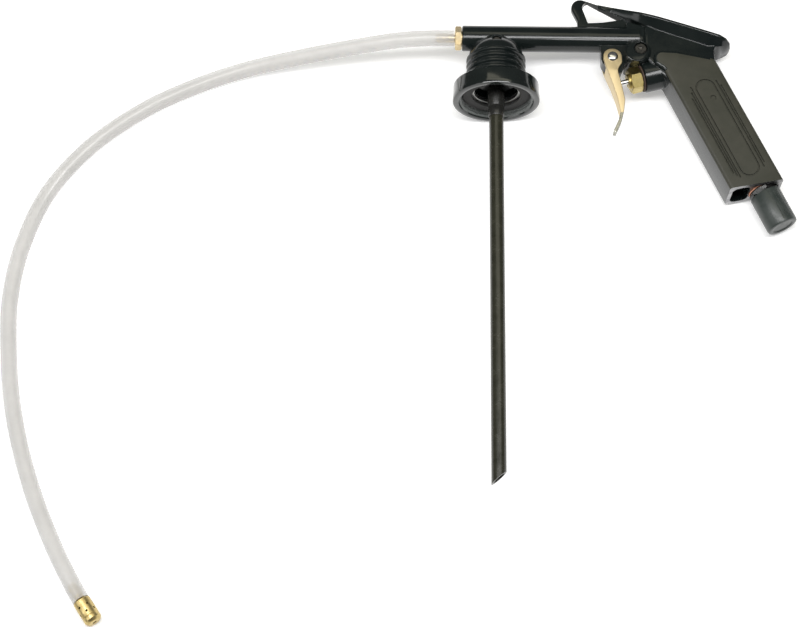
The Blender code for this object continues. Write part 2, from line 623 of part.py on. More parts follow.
# --------------------------------------------------------------------------- trigger
def make_trigger(frames):
    """The bent sheet trigger: a channel closed in front, with cheeks over the lug."""
    axis = frames["trigger"]
    pivot = TRIGGER_PIVOT / MM

    def from_pivot(corners):
        return [(x - pivot.x, z - pivot.z, radius) for x, z, radius in corners]

    side = filleted(from_pivot([
        (59.3, -8.7, 4.7), (69.7, -8.7, 5.0), (69.7, -17.2, 4.0), (67.0, -21.6, 5), (69.0, -29.5, 10),
        (70.9, -39.5, 8), (70.1, -46.0, 4), (68.8, -51.8, 5), (65.7, -58.6, 0.7), (63.9, -58.2, 0.5),
        (67.2, -51.0, 5), (68.3, -46.6, 5), (66.6, -38.5, 14), (63.9, -29.0, 14), (60.6, -20.0, 8),
        (59.3, -15.0, 3)]))
    inside = filleted(from_pivot([
        (55.0, -5.0, 0), (75.0, -5.0, 0), (75.0, -45.5, 0), (69.6, -45.8, 0), (67.9, -38.5, 12),
        (65.2, -29.0, 12), (62.0, -20.2, 0), (55.0, -20.2, 0)]))
    trigger = outline_solid("trigger", [side], TRIGGER_HALF_WIDTH, axis, PARTS)
    hollow = outline_solid("trigger_channel", [inside], TRIGGER_HALF_WIDTH - TRIGGER_SHEET, axis)
    bore = rod("trigger_bore", PIN_RADIUS + CLEARANCE, (0, -9 * MM, 0), (0, 9 * MM, 0), axis, steps=16)
    combine(trigger, [hollow, bore], "DIFFERENCE", "MANIFOLD")
    dress(trigger, finish("yellow_zinc", (0.55, 0.42, 0.25), 0.35, 1.0))
    pin_frame = axis_empty("pin_axis", axis, Vector(), TO_LEFT, side=ALONG_Z)
    pin = turned("trigger_pin", [
        (0.0, 7.6 * MM), (2.3 * MM, 7.6 * MM), (2.9 * MM, 7.0 * MM), (2.9 * MM, 6.4 * MM),
        (PIN_RADIUS, 6.4 * MM), (PIN_RADIUS, -6.5 * MM), (1.4 * MM, -6.5 * MM),
        (1.4 * MM, -7.5 * MM), (PIN_RADIUS, -7.5 * MM), (PIN_RADIUS, -8.2 * MM), (0.0, -8.2 * MM)],
        pin_frame, steps=18, ring=False)
    dress(pin, finish("bright_steel", (0.7, 0.7, 0.7), 0.25, 1.0))
    clip = turned("pin_clip", ring_profile(3.4 * MM, 1.7 * MM, -7.3 * MM, -6.7 * MM), pin_frame, steps=18)
    slot = box("clip_gap", (-1.1 * MM, 0.0, -8 * MM), (1.1 * MM, 5 * MM, -6 * MM), pin_frame)
    combine(clip, [slot], "DIFFERENCE")
    dress(clip, finish("spring_steel", (0.35, 0.34, 0.33), 0.35, 1.0))


# --------------------------------------------------------------------------- air valve
def make_valve(frames):
    """Everything on the valve axis, from the gland nut to the spring."""
    valve = frames["valve"]
    nut_face = VALVE_BOSS_FACE - 1.4 * MM
    shank = 4.8 * MM
    nut = turned("gland_nut", rod_profile(shank, nut_face - 1.0 * MM, -3.5 * MM), valve, steps=24,
                 ring=False)
    head = hex_block("gland_hex", 12.6 * MM, -18.1 * MM, nut_face, valve)
    bore = rod("gland_bore", STEM_RADIUS + 0.4 * MM, (0, 0, -20 * MM), (0, 0, -2 * MM), valve, steps=20)
    combine(nut, [head], "UNION")
    combine(nut, [bore], "DIFFERENCE")
    dress(nut, finish("gland_brass", (0.62, 0.45, 0.15), 0.35, 1.0))
    washer = turned("gland_washer", ring_profile(7.6 * MM, 5.1 * MM, nut_face + CLEARANCE,
                                                 VALVE_BOSS_FACE - CLEARANCE), valve, steps=28)
    dress(washer, finish("fibre_washer", (0.05, 0.03, 0.025), 0.7, 0.0))
    packing = turned("stem_packing", ring_profile(4.9 * MM, 1.9 * MM, -3.2 * MM, -1.2 * MM), valve,
                     steps=24)
    dress(packing, finish("packing_ptfe", (0.8, 0.8, 0.78), 0.5, 0.0))
    seat = turned("valve_seat", ring_profile(4.9 * MM, 2.6 * MM, 3.0 * MM, 5.8 * MM), valve, steps=24)
    dress(seat, finish("seat_brass", (0.62, 0.46, 0.2), 0.3, 1.0))
    stem = turned("valve_stem", [
        (0.0, 12.0 * MM), (1.2 * MM, 12.0 * MM), (1.2 * MM, POPPET_BACK), (POPPET_RADIUS, POPPET_BACK),
        (POPPET_RADIUS, POPPET_FRONT), (STEM_RADIUS, POPPET_FRONT), (STEM_RADIUS, STEM_TIP + 0.8 * MM),
        (0.8 * MM, STEM_TIP), (0.0, STEM_TIP)], valve, steps=20, ring=False)
    dress(stem, finish("stem_steel", (0.6, 0.6, 0.58), 0.25, 1.0))
    seal = turned("poppet_seal", ring_profile(POPPET_RADIUS, 1.8 * MM, 6.1 * MM, 7.3 * MM), valve, steps=24)
    dress(seal, finish("poppet_rubber", (0.02, 0.02, 0.02), 0.7, 0.0))
    make_valve_spring(valve)


def make_valve_spring(valve):
    """The return spring between the poppet and the bore's end."""
    coil_radius = 2.9 * MM
    wire_radius = 0.4 * MM
    turns = 5
    points_per_turn = 10
    low = POPPET_BACK + CLEARANCE + wire_radius
    high = VALVE_BORE_END - CLEARANCE - wire_radius
    curve = bpy.data.curves.new("valve_spring", "CURVE")
    curve.dimensions = "3D"
    curve.bevel_depth = wire_radius
    curve.bevel_resolution = 1
    curve.use_fill_caps = True
    spline = curve.splines.new("POLY")
    count = turns * points_per_turn
    spline.points.add(count)
    for index, point in enumerate(spline.points):
        angle = 2 * math.pi * index / points_per_turn
        height = low + (high - low) * index / count
        point.co = (coil_radius * math.cos(angle), coil_radius * math.sin(angle), height, 1.0)
    spring = place_object(bpy.data.objects.new("valve_spring", curve), valve, PARTS)
    dress(spring, finish("spring_wire", (0.55, 0.55, 0.53), 0.3, 1.0))


def make_passage_plugs(frames):
    """The screw plugs that close the two cross drillings."""
    rest = frames["rest"]
    for name, centre, radius, outer, inner in (
            ("front_passage_plug", FRONT_PLUG, 2.3 * MM, 11.2 * MM, 4.6 * MM),
            ("rear_passage_plug", REAR_PLUG, 3.3 * MM, 9.2 * MM, 4.6 * MM)):
        plug = rod(name, radius, centre + TO_LEFT * inner, centre + TO_LEFT * outer, rest, PARTS, steps=24)
        slot = box(name + "_slot", (-0.4 * MM, -6 * MM, outer - inner - 0.8 * MM),
                   (0.4 * MM, 6 * MM, outer), plug)
        combine(plug, [slot], "DIFFERENCE")
        dress(plug, finish(name + "_steel", (0.12, 0.12, 0.12), 0.4, 0.8))


# --------------------------------------------------------------------------- air inlet
def make_inlet(frames):
    """The threaded air inlet with its washer and filter, and the dust cap over it."""
    inlet = frames["inlet"]
    low_washer = GRIP_LENGTH + CLEARANCE
    hex_top = low_washer + 1.0 * MM + CLEARANCE
    hex_end = hex_top + 2.6 * MM
    shank = INLET_BORE_RADIUS - CLEARANCE
    adapter = turned("inlet_adapter", [
        (0.0, 99.0 * MM), (6.0 * MM, 99.0 * MM), (6.5 * MM, 98.2 * MM), (6.5 * MM, hex_end - 0.5 * MM),
        (shank, hex_top + 0.5 * MM), (shank, 66.0 * MM), (0.0, 66.0 * MM)], inlet, steps=24, ring=False)
    flange = hex_block("inlet_hex", 15.0 * MM, hex_top, hex_end, inlet)
    bore = turned("inlet_adapter_bore", [
        (0.0, 100.0 * MM), (4.2 * MM, 100.0 * MM), (4.2 * MM, 72.0 * MM), (2.6 * MM, 72.0 * MM),
        (2.6 * MM, 65.0 * MM), (0.0, 65.0 * MM)], inlet, CUTTERS, steps=20, ring=False)
    combine(adapter, [flange], "UNION", "MANIFOLD")
    combine(adapter, [bore], "DIFFERENCE", "MANIFOLD")
    dress(adapter, finish("nickel_plate", (0.45, 0.45, 0.42), 0.3, 1.0))
    washer = turned("inlet_washer", ring_profile(8.2 * MM, 6.7 * MM, low_washer, low_washer + 1.0 * MM),
                    inlet, steps=28)
    dress(washer, finish("copper", (0.6, 0.3, 0.2), 0.35, 1.0))
    filter_profile = [(0.0, 92 * MM), (3.0 * MM, 92 * MM), (3.8 * MM, 90 * MM), (3.8 * MM, 72.4 * MM),
                      (2.9 * MM, 72.4 * MM), (2.9 * MM, 90 * MM), (0.0, 90 * MM)]
    strainer = turned("inlet_filter", filter_profile, inlet, steps=20, ring=False)
    dress(strainer, finish("sintered_bronze", (0.45, 0.32, 0.18), 0.6, 1.0))
    cap = turned("dust_cap", [
        (0.0, CAP_END), (CAP_RADIUS - 1.2 * MM, CAP_END), (CAP_RADIUS - 0.3 * MM, CAP_END - 0.4 * MM),
        (CAP_RADIUS, CAP_END - 1.4 * MM), (CAP_RADIUS, CAP_TOP + 0.4 * MM), (CAP_RADIUS - 0.4 * MM, CAP_TOP),
        (6.9 * MM, CAP_TOP), (6.9 * MM, CAP_END - 1.8 * MM), (0.0, CAP_END - 1.8 * MM)], inlet, steps=28,
        ring=False)
    dress(cap, finish("grey_plastic", (0.09, 0.1, 0.095), 0.45, 0.0))


def main():
    clear_scene()
    new_collection(PARTS)
    new_collection(CUTTERS)
    frames = make_frames()
    make_gun_body(frames)
    make_can_joint(frames)
    make_suction(frames)
    make_air_jet(frames)
    make_hose_connector(frames)
    make_probe()
    make_trigger(frames)
    make_valve(frames)
    make_passage_plugs(frames)
    make_inlet(frames)
    bpy.context.view_layer.update()


main()
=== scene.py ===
"""Looks of an air-operated underbody spray gun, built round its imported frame.

Every piece is drawn upright in the gun's own frame, in millimetres: +X runs from the nozzle to
the handle, +Z is up and -Y is the left side. It is then laid down on the bench, in its mesh.
"""
from __future__ import annotations

import json
import logging
import math
from dataclasses import dataclass
from enum import Enum
from typing import Iterable, Sequence

import bpy
from mathutils import Euler, Matrix, Vector


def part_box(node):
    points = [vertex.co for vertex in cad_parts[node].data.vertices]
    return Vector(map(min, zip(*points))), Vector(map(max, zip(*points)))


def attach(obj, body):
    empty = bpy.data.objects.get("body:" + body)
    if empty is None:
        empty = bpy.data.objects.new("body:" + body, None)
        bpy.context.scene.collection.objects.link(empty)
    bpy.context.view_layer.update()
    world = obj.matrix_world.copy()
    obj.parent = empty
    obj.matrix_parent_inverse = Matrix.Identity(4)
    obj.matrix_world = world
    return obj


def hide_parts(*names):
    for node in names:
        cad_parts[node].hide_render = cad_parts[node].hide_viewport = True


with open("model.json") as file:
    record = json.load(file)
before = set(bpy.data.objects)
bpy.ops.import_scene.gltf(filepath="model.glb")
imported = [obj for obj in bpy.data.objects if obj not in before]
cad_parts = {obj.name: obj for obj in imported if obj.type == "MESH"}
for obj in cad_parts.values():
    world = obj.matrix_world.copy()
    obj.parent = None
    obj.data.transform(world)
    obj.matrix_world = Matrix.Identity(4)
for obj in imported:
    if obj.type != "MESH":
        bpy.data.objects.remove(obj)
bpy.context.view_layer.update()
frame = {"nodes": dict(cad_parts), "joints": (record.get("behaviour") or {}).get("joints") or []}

LOG = logging.getLogger("spray_gun")
MM = 0.001
MERGE = 0.000001
SMOOTH_ANGLE = math.radians(33)

Corner = tuple[float, float, float]
Point2 = tuple[float, float]

ALONG_Y = Vector((0.0, 1.0, 0.0))
ALONG_Z = Vector((0.0, 0.0, 1.0))


# --------------------------------------------------------------------------- the gun's frame
def gun_placement() -> Matrix:
    """Work out how the gun lies from its collar's box and its trigger's axis.

    Returns:
        The matrix from the gun's upright frame to the bench, in metres.
    """
    low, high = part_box("can_collar")
    collar_top_depth = 29.9 * MM
    middle = (low + high) / 2
    axis = next(joint["axis"] for joint in frame["joints"] if joint["name"] == "trigger_pull")
    roll = math.atan2(axis[0], axis[2])
    foot = Vector((middle.x, high.y + collar_top_depth, middle.z))
    return Matrix.LocRotScale(foot, Euler((-math.pi / 2, roll, 0.0)), None)


PLACEMENT = gun_placement()


@dataclass(frozen=True)
class Axis:
    """A line of the gun on which turned pieces sit, with its sideways direction."""

    origin: tuple[float, float, float]
    direction: tuple[float, float, float]
    side: tuple[float, float, float] = (0.0, 1.0, 0.0)

    def matrix(self) -> Matrix:
        """Return the matrix from the axis's own frame, its +Z along the line, to the gun's."""
        along = Vector(self.direction).normalized()
        side = Vector(self.side)
        turn = Matrix((side.cross(along), side, along)).transposed().to_4x4()
        return Matrix.Translation(Vector(self.origin) * MM) @ turn

    def on_bench(self) -> Vector:
        """Return the axis's direction as the gun lies on the bench."""
        return (PLACEMENT.to_3x3() @ Vector(self.direction)).normalized()


GRIP_SLANT = math.radians(24.3)
GRIP_FRONT = Vector((93.9, 0.0, -26.7))
GRIP_DEPTH = 27.8
GRIP_LENGTH = 78.0
GRIP_HALF = 11.0
END_TILT = math.radians(13.0)
DOWN_GRIP = Vector((math.sin(GRIP_SLANT), 0.0, -math.cos(GRIP_SLANT)))
INTO_GRIP = Vector((math.cos(GRIP_SLANT), 0.0, math.sin(GRIP_SLANT)))
VALVE_SLANT = math.radians(15.5)
INLET_START = GRIP_FRONT + INTO_GRIP * 19.2

BARREL = Axis((0.0, 0.0, 0.0), (1.0, 0.0, 0.0))
NECK = Axis((0.0, 0.0, 0.0), (0.0, 0.0, 1.0))
VALVE = Axis((91.5, 0.0, -21.1), (math.cos(VALVE_SLANT), 0.0, math.sin(VALVE_SLANT)))
INLET = Axis(tuple(INLET_START), tuple(DOWN_GRIP))
PIVOT = Axis((64.5, 0.0, -13.7), (0.0, -1.0, 0.0), (0.0, 0.0, 1.0))
FRONT_DRILLING = Axis((0.0, 0.0, -7.2), (0.0, -1.0, 0.0), (0.0, 0.0, 1.0))
REAR_DRILLING = Axis((79.8, 0.0, -10.2), (0.0, -1.0, 0.0), (0.0, 0.0, 1.0))


def grip_point(depth: float, along: float) -> Point2:
    """Return a point of the grip's side in the gun's XZ plane.

    Args:
        depth: How far behind the grip's front edge, in mm.
        along: How far down the grip, in mm.

    Returns:
        The point's X and Z, in mm.
    """
    place = GRIP_FRONT + INTO_GRIP * depth + DOWN_GRIP * along
    return place.x, place.z


# --------------------------------------------------------------------------- finishes
class Grain(Enum):
    """The fine surface that a finish has."""

    CAST = "cast"
    TURNED = "turned"
    MOULDED = "moulded"
    ROLLED = "rolled"


@dataclass(frozen=True)
class Finish:
    """A procedural surface: two colours mottled together, uneven gloss and a fine grain."""

    name: str
    colour: tuple[float, float, float]
    second: tuple[float, float, float]
    roughness: float
    spread: float
    metallic: float = 0.0
    grain: Grain = Grain.MOULDED
    grain_size: float = 0.6
    mottle_size: float = 9.0
    relief: float = 0.02
    strength: float = 0.25
    axis: tuple[float, float, float] = (0.0, 1.0, 0.0)
    edge: float = 0.0
    coat: float = 0.0
    specular: float = 0.5
    alpha: float = 1.0
    transmission: float = 0.0
    anisotropy: float = 0.0

    def material(self) -> bpy.types.Material:
        """Return the finish's material, made the first time that it is asked for."""
        made = bpy.data.materials.get(self.name)
        if made:
            return made
        material = bpy.data.materials.new(self.name)
        material.use_nodes = True
        tree = material.node_tree
        shader = tree.nodes["Principled BSDF"]
        shader.inputs["Metallic"].default_value = self.metallic
        shader.inputs["Coat Weight"].default_value = self.coat
        shader.inputs["Coat Roughness"].default_value = 0.06
        shader.inputs["Specular IOR Level"].default_value = self.specular
        shader.inputs["Alpha"].default_value = self.alpha
        shader.inputs["Transmission Weight"].default_value = self.transmission
        shader.inputs["Anisotropic"].default_value = self.anisotropy
        place = tree.nodes.new("ShaderNodeTexCoord")
        self._mottle(tree, shader, place)
        self._relief(tree, shader, place)
        return material

    def _mottle(self, tree: bpy.types.NodeTree, shader: bpy.types.Node, place: bpy.types.Node) -> None:
        """Mix the two colours, and vary the gloss, in soft patches.

        Args:
            tree: The material's nodes.
            shader: Its Principled shader.
            place: Its texture coordinates.
        """
        patches = tree.nodes.new("ShaderNodeTexNoise")
        patches.inputs["Scale"].default_value = 1.0 / (self.mottle_size * MM)
        patches.inputs["Detail"].default_value = 4.0
        patches.inputs["Roughness"].default_value = 0.6
        tree.links.new(place.outputs["Object"], patches.inputs["Vector"])
        contrast = tree.nodes.new("ShaderNodeMapRange")
        contrast.inputs["From Min"].default_value = 0.32
        contrast.inputs["From Max"].default_value = 0.68
        tree.links.new(patches.outputs["Fac"], contrast.inputs["Value"])
        mix = tree.nodes.new("ShaderNodeMix")
        mix.data_type = "RGBA"
        mix.inputs["A"].default_value = (*self.colour, 1.0)
        mix.inputs["B"].default_value = (*self.second, 1.0)
        tree.links.new(contrast.outputs["Result"], mix.inputs["Factor"])
        tree.links.new(mix.outputs["Result"], shader.inputs["Base Color"])
        gloss = tree.nodes.new("ShaderNodeMapRange")
        gloss.inputs["To Min"].default_value = max(0.02, self.roughness - self.spread)
        gloss.inputs["To Max"].default_value = self.roughness + self.spread
        tree.links.new(contrast.outputs["Result"], gloss.inputs["Value"])
        tree.links.new(gloss.outputs["Result"], shader.inputs["Roughness"])

    def _relief(self, tree: bpy.types.NodeTree, shader: bpy.types.Node, place: bpy.types.Node) -> None:
        """Give the surface its grain and its softened edges.

        Args:
            tree: The material's nodes.
            shader: Its Principled shader.
            place: Its texture coordinates.
        """
        bump = tree.nodes.new("ShaderNodeBump")
        bump.inputs["Strength"].default_value = self.strength
        bump.inputs["Distance"].default_value = self.relief * MM
        tree.links.new(self._height(tree, place), bump.inputs["Height"])
        if self.edge:
            soft = tree.nodes.new("ShaderNodeBevel")
            soft.samples = 4
            soft.inputs["Radius"].default_value = self.edge * MM
            tree.links.new(soft.outputs["Normal"], bump.inputs["Normal"])
        tree.links.new(bump.outputs["Normal"], shader.inputs["Normal"])

    def _height(self, tree: bpy.types.NodeTree, place: bpy.types.Node) -> bpy.types.NodeSocket:
        """Return the socket that gives the grain's height.

        Args:
            tree: The material's nodes.
            place: Its texture coordinates.

        Returns:
            The socket to bump with.
        """
        grains = tree.nodes.new("ShaderNodeTexNoise")
        grains.inputs["Scale"].default_value = 1.0 / (self.grain_size * MM)
        grains.inputs["Detail"].default_value = 3.0
        tree.links.new(place.outputs["Object"], grains.inputs["Vector"])
        if self.grain is not Grain.TURNED:
            return grains.outputs["Fac"]
        along = tree.nodes.new("ShaderNodeVectorMath")
        along.operation = "DOT_PRODUCT"
        along.inputs[1].default_value = Vector(self.axis) * (2 * math.pi / (self.grain_size * MM))
        tree.links.new(place.outputs["Object"], along.inputs[0])
        rings = tree.nodes.new("ShaderNodeMath")
        rings.operation = "SINE"
        tree.links.new(along.outputs["Value"], rings.inputs[0])
        both = tree.nodes.new("ShaderNodeMath")
        both.operation = "ADD"
        tree.links.new(rings.outputs["Value"], both.inputs[0])
        tree.links.new(grains.outputs["Fac"], both.inputs[1])
        return both.outputs["Value"]


PAINT = Finish("casting_black_paint", (0.0045, 0.0072, 0.0072), (0.008, 0.0112, 0.0105), 0.17, 0.04,
               grain=Grain.CAST, grain_size=1.3, mottle_size=14.0, relief=0.035, strength=0.2, edge=0.6,
               specular=0.4, coat=0.06)
GRIP_PAINT = Finish("grip_olive_paint", (0.03, 0.031, 0.022), (0.04, 0.039, 0.028), 0.48, 0.06,
                    grain=Grain.CAST, grain_size=0.45, mottle_size=10.0, relief=0.03, strength=0.3,
                    edge=0.3, specular=0.35)
BARE_METAL = Finish("bare_cut_aluminium", (0.36, 0.36, 0.36), (0.22, 0.22, 0.23), 0.36, 0.1,
                    metallic=1.0,
                    grain=Grain.TURNED, grain_size=0.35, mottle_size=3.0)
COLLAR_BLACK = Finish("collar_black_gloss", (0.0045, 0.007, 0.0065), (0.0085, 0.0115, 0.0105), 0.13,
                      0.03,
                      grain_size=0.9, mottle_size=12.0, relief=0.02, strength=0.12, coat=0.4)
# Painted light: the collar's thread is coloured a light satin grey, not the collar's black, to stand in
# for the light that falls into the collar's mouth.
THREAD_SATIN_PAINTED_LIGHT = Finish("collar_thread_satin_painted_light", (0.075, 0.085, 0.08), (0.12, 0.13, 0.125), 0.3, 0.08,
                      grain_size=0.5, mottle_size=2.5, relief=0.05, strength=0.5)
ZINC = Finish("flange_dull_zinc", (0.42, 0.42, 0.4), (0.3, 0.3, 0.29), 0.4, 0.1, metallic=1.0,
              mottle_size=2.5, grain_size=0.3)
GASKET = Finish("gasket_black_rubber", (0.022, 0.022, 0.021), (0.04, 0.039, 0.037), 0.75, 0.08,
                grain_size=0.25, mottle_size=4.0, relief=0.03)
OLIVE = Finish("tube_olive_nylon", (0.016, 0.0165, 0.01), (0.027, 0.0265, 0.017), 0.25, 0.05,
               grain_size=0.5, mottle_size=7.0, relief=0.012, strength=0.2)
SLEEVE = Finish("sleeve_black_nylon", (0.014, 0.014, 0.013), (0.022, 0.022, 0.02), 0.24, 0.05,
                grain_size=0.5, mottle_size=6.0, relief=0.012)
BRASS_X = Finish("connector_turned_brass", (0.8, 0.66, 0.42), (0.6, 0.46, 0.24), 0.32, 0.08,
                 metallic=1.0,
                 grain=Grain.TURNED, grain_size=0.28, mottle_size=3.0, relief=0.008,
                 axis=tuple(BARREL.on_bench()), edge=0.15)
BRASS_GLAND = Finish("gland_turned_brass", (0.56, 0.46, 0.2), (0.38, 0.3, 0.11), 0.36, 0.08,
                     metallic=1.0,
                     grain=Grain.TURNED, grain_size=0.28, mottle_size=2.5, relief=0.008,
                     axis=tuple(VALVE.on_bench()), edge=0.15)
INNER_BRASS = Finish("inner_turned_brass", (0.66, 0.46, 0.18), (0.5, 0.33, 0.11), 0.28, 0.06,
                     metallic=1.0,
                     grain=Grain.TURNED, grain_size=0.3, mottle_size=4.0, axis=tuple(BARREL.on_bench()))
YELLOW_ZINC = Finish("trigger_yellow_zinc", (0.16, 0.12, 0.078), (0.14, 0.104, 0.07), 0.42, 0.06,
                     metallic=1.0,
                     grain=Grain.ROLLED, grain_size=0.25, mottle_size=7.0, relief=0.006, edge=0.2)
WORN_STEEL = Finish("trigger_worn_edge", (0.4, 0.4, 0.36), (0.2, 0.19, 0.15), 0.28, 0.08, metallic=1.0,
                    grain=Grain.ROLLED, grain_size=0.3, mottle_size=2.2, relief=0.01, edge=0.2)
STEEL = Finish("bright_turned_steel", (0.72, 0.72, 0.71), (0.5, 0.5, 0.49), 0.2, 0.06, metallic=1.0,
               grain=Grain.TURNED, grain_size=0.25, mottle_size=2.0, relief=0.006,
               axis=tuple(PIVOT.on_bench()))
SPRING_STEEL = Finish("dark_spring_steel", (0.3, 0.29, 0.28), (0.2, 0.19, 0.19), 0.33, 0.07,
                      metallic=1.0,
                      mottle_size=2.0)
FIBRE = Finish("washer_dark_fibre", (0.04, 0.024, 0.02), (0.07, 0.045, 0.03), 0.7, 0.1, mottle_size=1.5,
               grain_size=0.2, relief=0.03)
BLACKED = Finish("plug_blackened_steel", (0.035, 0.034, 0.032), (0.07, 0.067, 0.06), 0.3, 0.08,
                 metallic=0.7, mottle_size=2.0, grain_size=0.3)
NICKEL = Finish("nipple_dark_nickel", (0.07, 0.07, 0.068), (0.035, 0.036, 0.035), 0.32, 0.08,
                metallic=0.8,
                grain=Grain.TURNED, grain_size=0.3, mottle_size=3.0, axis=tuple(INLET.on_bench()),
                edge=0.2)
COPPER = Finish("washer_copper", (0.06, 0.036, 0.026), (0.035, 0.024, 0.02), 0.45, 0.08, metallic=1.0,
                mottle_size=2.0)
BRONZE = Finish("filter_sintered_bronze", (0.42, 0.3, 0.16), (0.3, 0.2, 0.1), 0.6, 0.1, metallic=1.0,
                grain_size=0.25, mottle_size=1.2, relief=0.12, strength=0.8)
CAP_PLASTIC = Finish("cap_grey_plastic", (0.022, 0.029, 0.026), (0.033, 0.041, 0.037), 0.38, 0.06,
                     grain_size=0.35, mottle_size=5.0, relief=0.02, strength=0.3, edge=0.3)
PTFE = Finish("packing_white", (0.78, 0.78, 0.75), (0.7, 0.69, 0.66), 0.5, 0.06, mottle_size=2.0)
NITRILE = Finish("seal_nitrile", (0.018, 0.018, 0.018), (0.03, 0.03, 0.03), 0.6, 0.08, mottle_size=2.0)
HOSE_WALL = Finish("hose_milky_nylon", (0.66, 0.645, 0.625), (0.58, 0.57, 0.55), 0.2, 0.05,
                   grain_size=1.6, mottle_size=16.0, relief=0.03, strength=0.2, alpha=0.5)
HOSE_CORE = Finish("hose_bore_wall", (0.9, 0.89, 0.87), (0.84, 0.83, 0.81), 0.3, 0.05,
                   grain_size=1.2, mottle_size=14.0, relief=0.02, alpha=0.4)


# --------------------------------------------------------------------------- modelling moves
def rounded(corners: Sequence[Corner], arc_degrees: float = 12.0) -> list[Point2]:
    """Round the corners of a closed outline.

    Args:
        corners: Each corner's two coordinates and its radius, in mm.
        arc_degrees: The turn that each stretch of a round corner takes.

    Returns:
        The outline's points, in mm.
    """
    points: list[Point2] = []
    for index, (across, up, radius) in enumerate(corners):
        corner = Vector((across, up))
        if radius == 0:
            points.append((across, up))
            continue
        back = (Vector(corners[index - 1][:2]) - corner).normalized()
        on = (Vector(corners[(index + 1) % len(corners)][:2]) - corner).normalized()
        half = back.angle(on) / 2
        centre = corner + (back + on).normalized() * radius / math.sin(half)
        first = corner + back * radius / math.tan(half) - centre
        last = corner + on * radius / math.tan(half) - centre
        stretches = max(2, round((180.0 - math.degrees(2 * half)) / arc_degrees))
        for step in range(stretches + 1):
            spoke = first.lerp(last, step / stretches).normalized() * radius
            points.append(tuple(centre + spoke))
    return points


def stadium(start: Point2, end: Point2, radius: float, steps: int = 8) -> list[Point2]:
    """Return the outline of a slot with round ends between two centres, in mm."""
    first, last = Vector(start), Vector(end)
    heading = math.atan2(last.y - first.y, last.x - first.x)
    points = []
    for centre, turn in ((last, -math.pi / 2), (first, math.pi / 2)):
        for step in range(steps + 1):
            angle = heading + turn + math.pi * step / steps
            points.append((centre.x + radius * math.cos(angle), centre.y + radius * math.sin(angle)))
    return points


def pick(*things: bpy.types.Object) -> None:
    """Select these objects only, the first one active."""
    bpy.ops.object.select_all(action="DESELECT")
    for thing in things:
        thing.select_set(True)
    bpy.context.view_layer.objects.active = things[0]


def trace(name: str, points: Sequence[Vector], filled: bool = False,
          closed: bool = False) -> bpy.types.Object:
    """Draw a wire by extruding one vertex from point to point.

    Args:
        name: The new object's name.
        points: The wire's points, in metres.
        filled: Whether the closed wire becomes a face.
        closed: Whether the wire closes on itself.

    Returns:
        The new object, in object mode.
    """
    bpy.ops.object.select_all(action="DESELECT")
    bpy.ops.mesh.primitive_plane_add(size=2 * MM, enter_editmode=True)
    thing = bpy.context.object
    thing.name = name
    bpy.ops.mesh.merge(type="CENTER")
    bpy.ops.transform.translate(value=points[0])
    for last, following in zip(points, points[1:]):
        bpy.ops.mesh.extrude_region_move(TRANSFORM_OT_translate={"value": following - last})
    if filled or closed:
        bpy.ops.mesh.select_all(action="SELECT")
        bpy.ops.mesh.edge_face_add()
    if closed and not filled:
        bpy.ops.mesh.delete(type="ONLY_FACE")
    bpy.ops.object.mode_set(mode="OBJECT")
    return thing


def turned(name: str, profile: Sequence[Point2], axis: Axis, steps: int = 64,
           ring: bool = True) -> bpy.types.Object:
    """Spin a profile about an axis of the gun.

    Args:
        name: The new object's name.
        profile: Radius and height of each point, in mm. A solid's starts and ends on the axis.
        axis: The axis that the piece sits on.
        steps: How many faces go round.
        ring: Whether the profile closes on itself.

    Returns:
        The turned piece, in the gun's frame.
    """
    wire = trace(name, [Vector((radius, 0.0, height)) * MM for radius, height in profile], closed=ring)
    bpy.ops.object.mode_set(mode="EDIT")
    bpy.ops.mesh.select_all(action="SELECT")
    bpy.ops.mesh.spin(steps=steps, angle=2 * math.pi, center=(0, 0, 0), axis=(0, 0, 1))
    bpy.ops.mesh.select_all(action="SELECT")
    bpy.ops.mesh.remove_doubles(threshold=MERGE)
    bpy.ops.mesh.normals_make_consistent(inside=False)
    bpy.ops.object.mode_set(mode="OBJECT")
    wire.data.transform(axis.matrix())
    return wire


def drill(name: str, radius: float, start: float, end: float, axis: Axis,
          steps: int = 40) -> bpy.types.Object:
    """Return a plain cylinder between two heights of an axis, to cut with, in mm."""
    return turned(name, [(0.0, end), (radius, end), (radius, start), (0.0, start)], axis, steps,
                  ring=False)


def slab(name: str, outline: Sequence[Point2], low: float, high: float) -> bpy.types.Object:
    """Fill an XZ outline and extrude it sideways.

    Args:
        name: The new object's name.
        outline: The outline's points, in mm.
        low: The Y of its left side, in mm.
        high: The Y of its right side, in mm.

    Returns:
        The slab, in the gun's frame.
    """
    plate = trace(name, [Vector((x, low, z)) * MM for x, z in outline], filled=True)
    bpy.ops.object.mode_set(mode="EDIT")
    bpy.ops.mesh.select_all(action="SELECT")
    bpy.ops.mesh.extrude_region_move(TRANSFORM_OT_translate={"value": (0.0, (high - low) * MM, 0.0)})
    bpy.ops.mesh.select_all(action="SELECT")
    bpy.ops.mesh.normals_make_consistent(inside=False)
    bpy.ops.object.mode_set(mode="OBJECT")
    return plate


def block(name: str, low: Sequence[float], high: Sequence[float], placing: Matrix) -> bpy.types.Object:
    """Return a box between two corners of a frame, in mm, placed in its mesh."""
    bpy.ops.object.select_all(action="DESELECT")
    bpy.ops.mesh.primitive_cube_add(size=1.0)
    thing = bpy.context.object
    thing.name = name
    size = (Vector(high) - Vector(low)) * MM
    middle = (Vector(high) + Vector(low)) / 2 * MM
    thing.data.transform(placing @ Matrix.Translation(middle) @ Matrix.Diagonal((*size, 1.0)))
    return thing


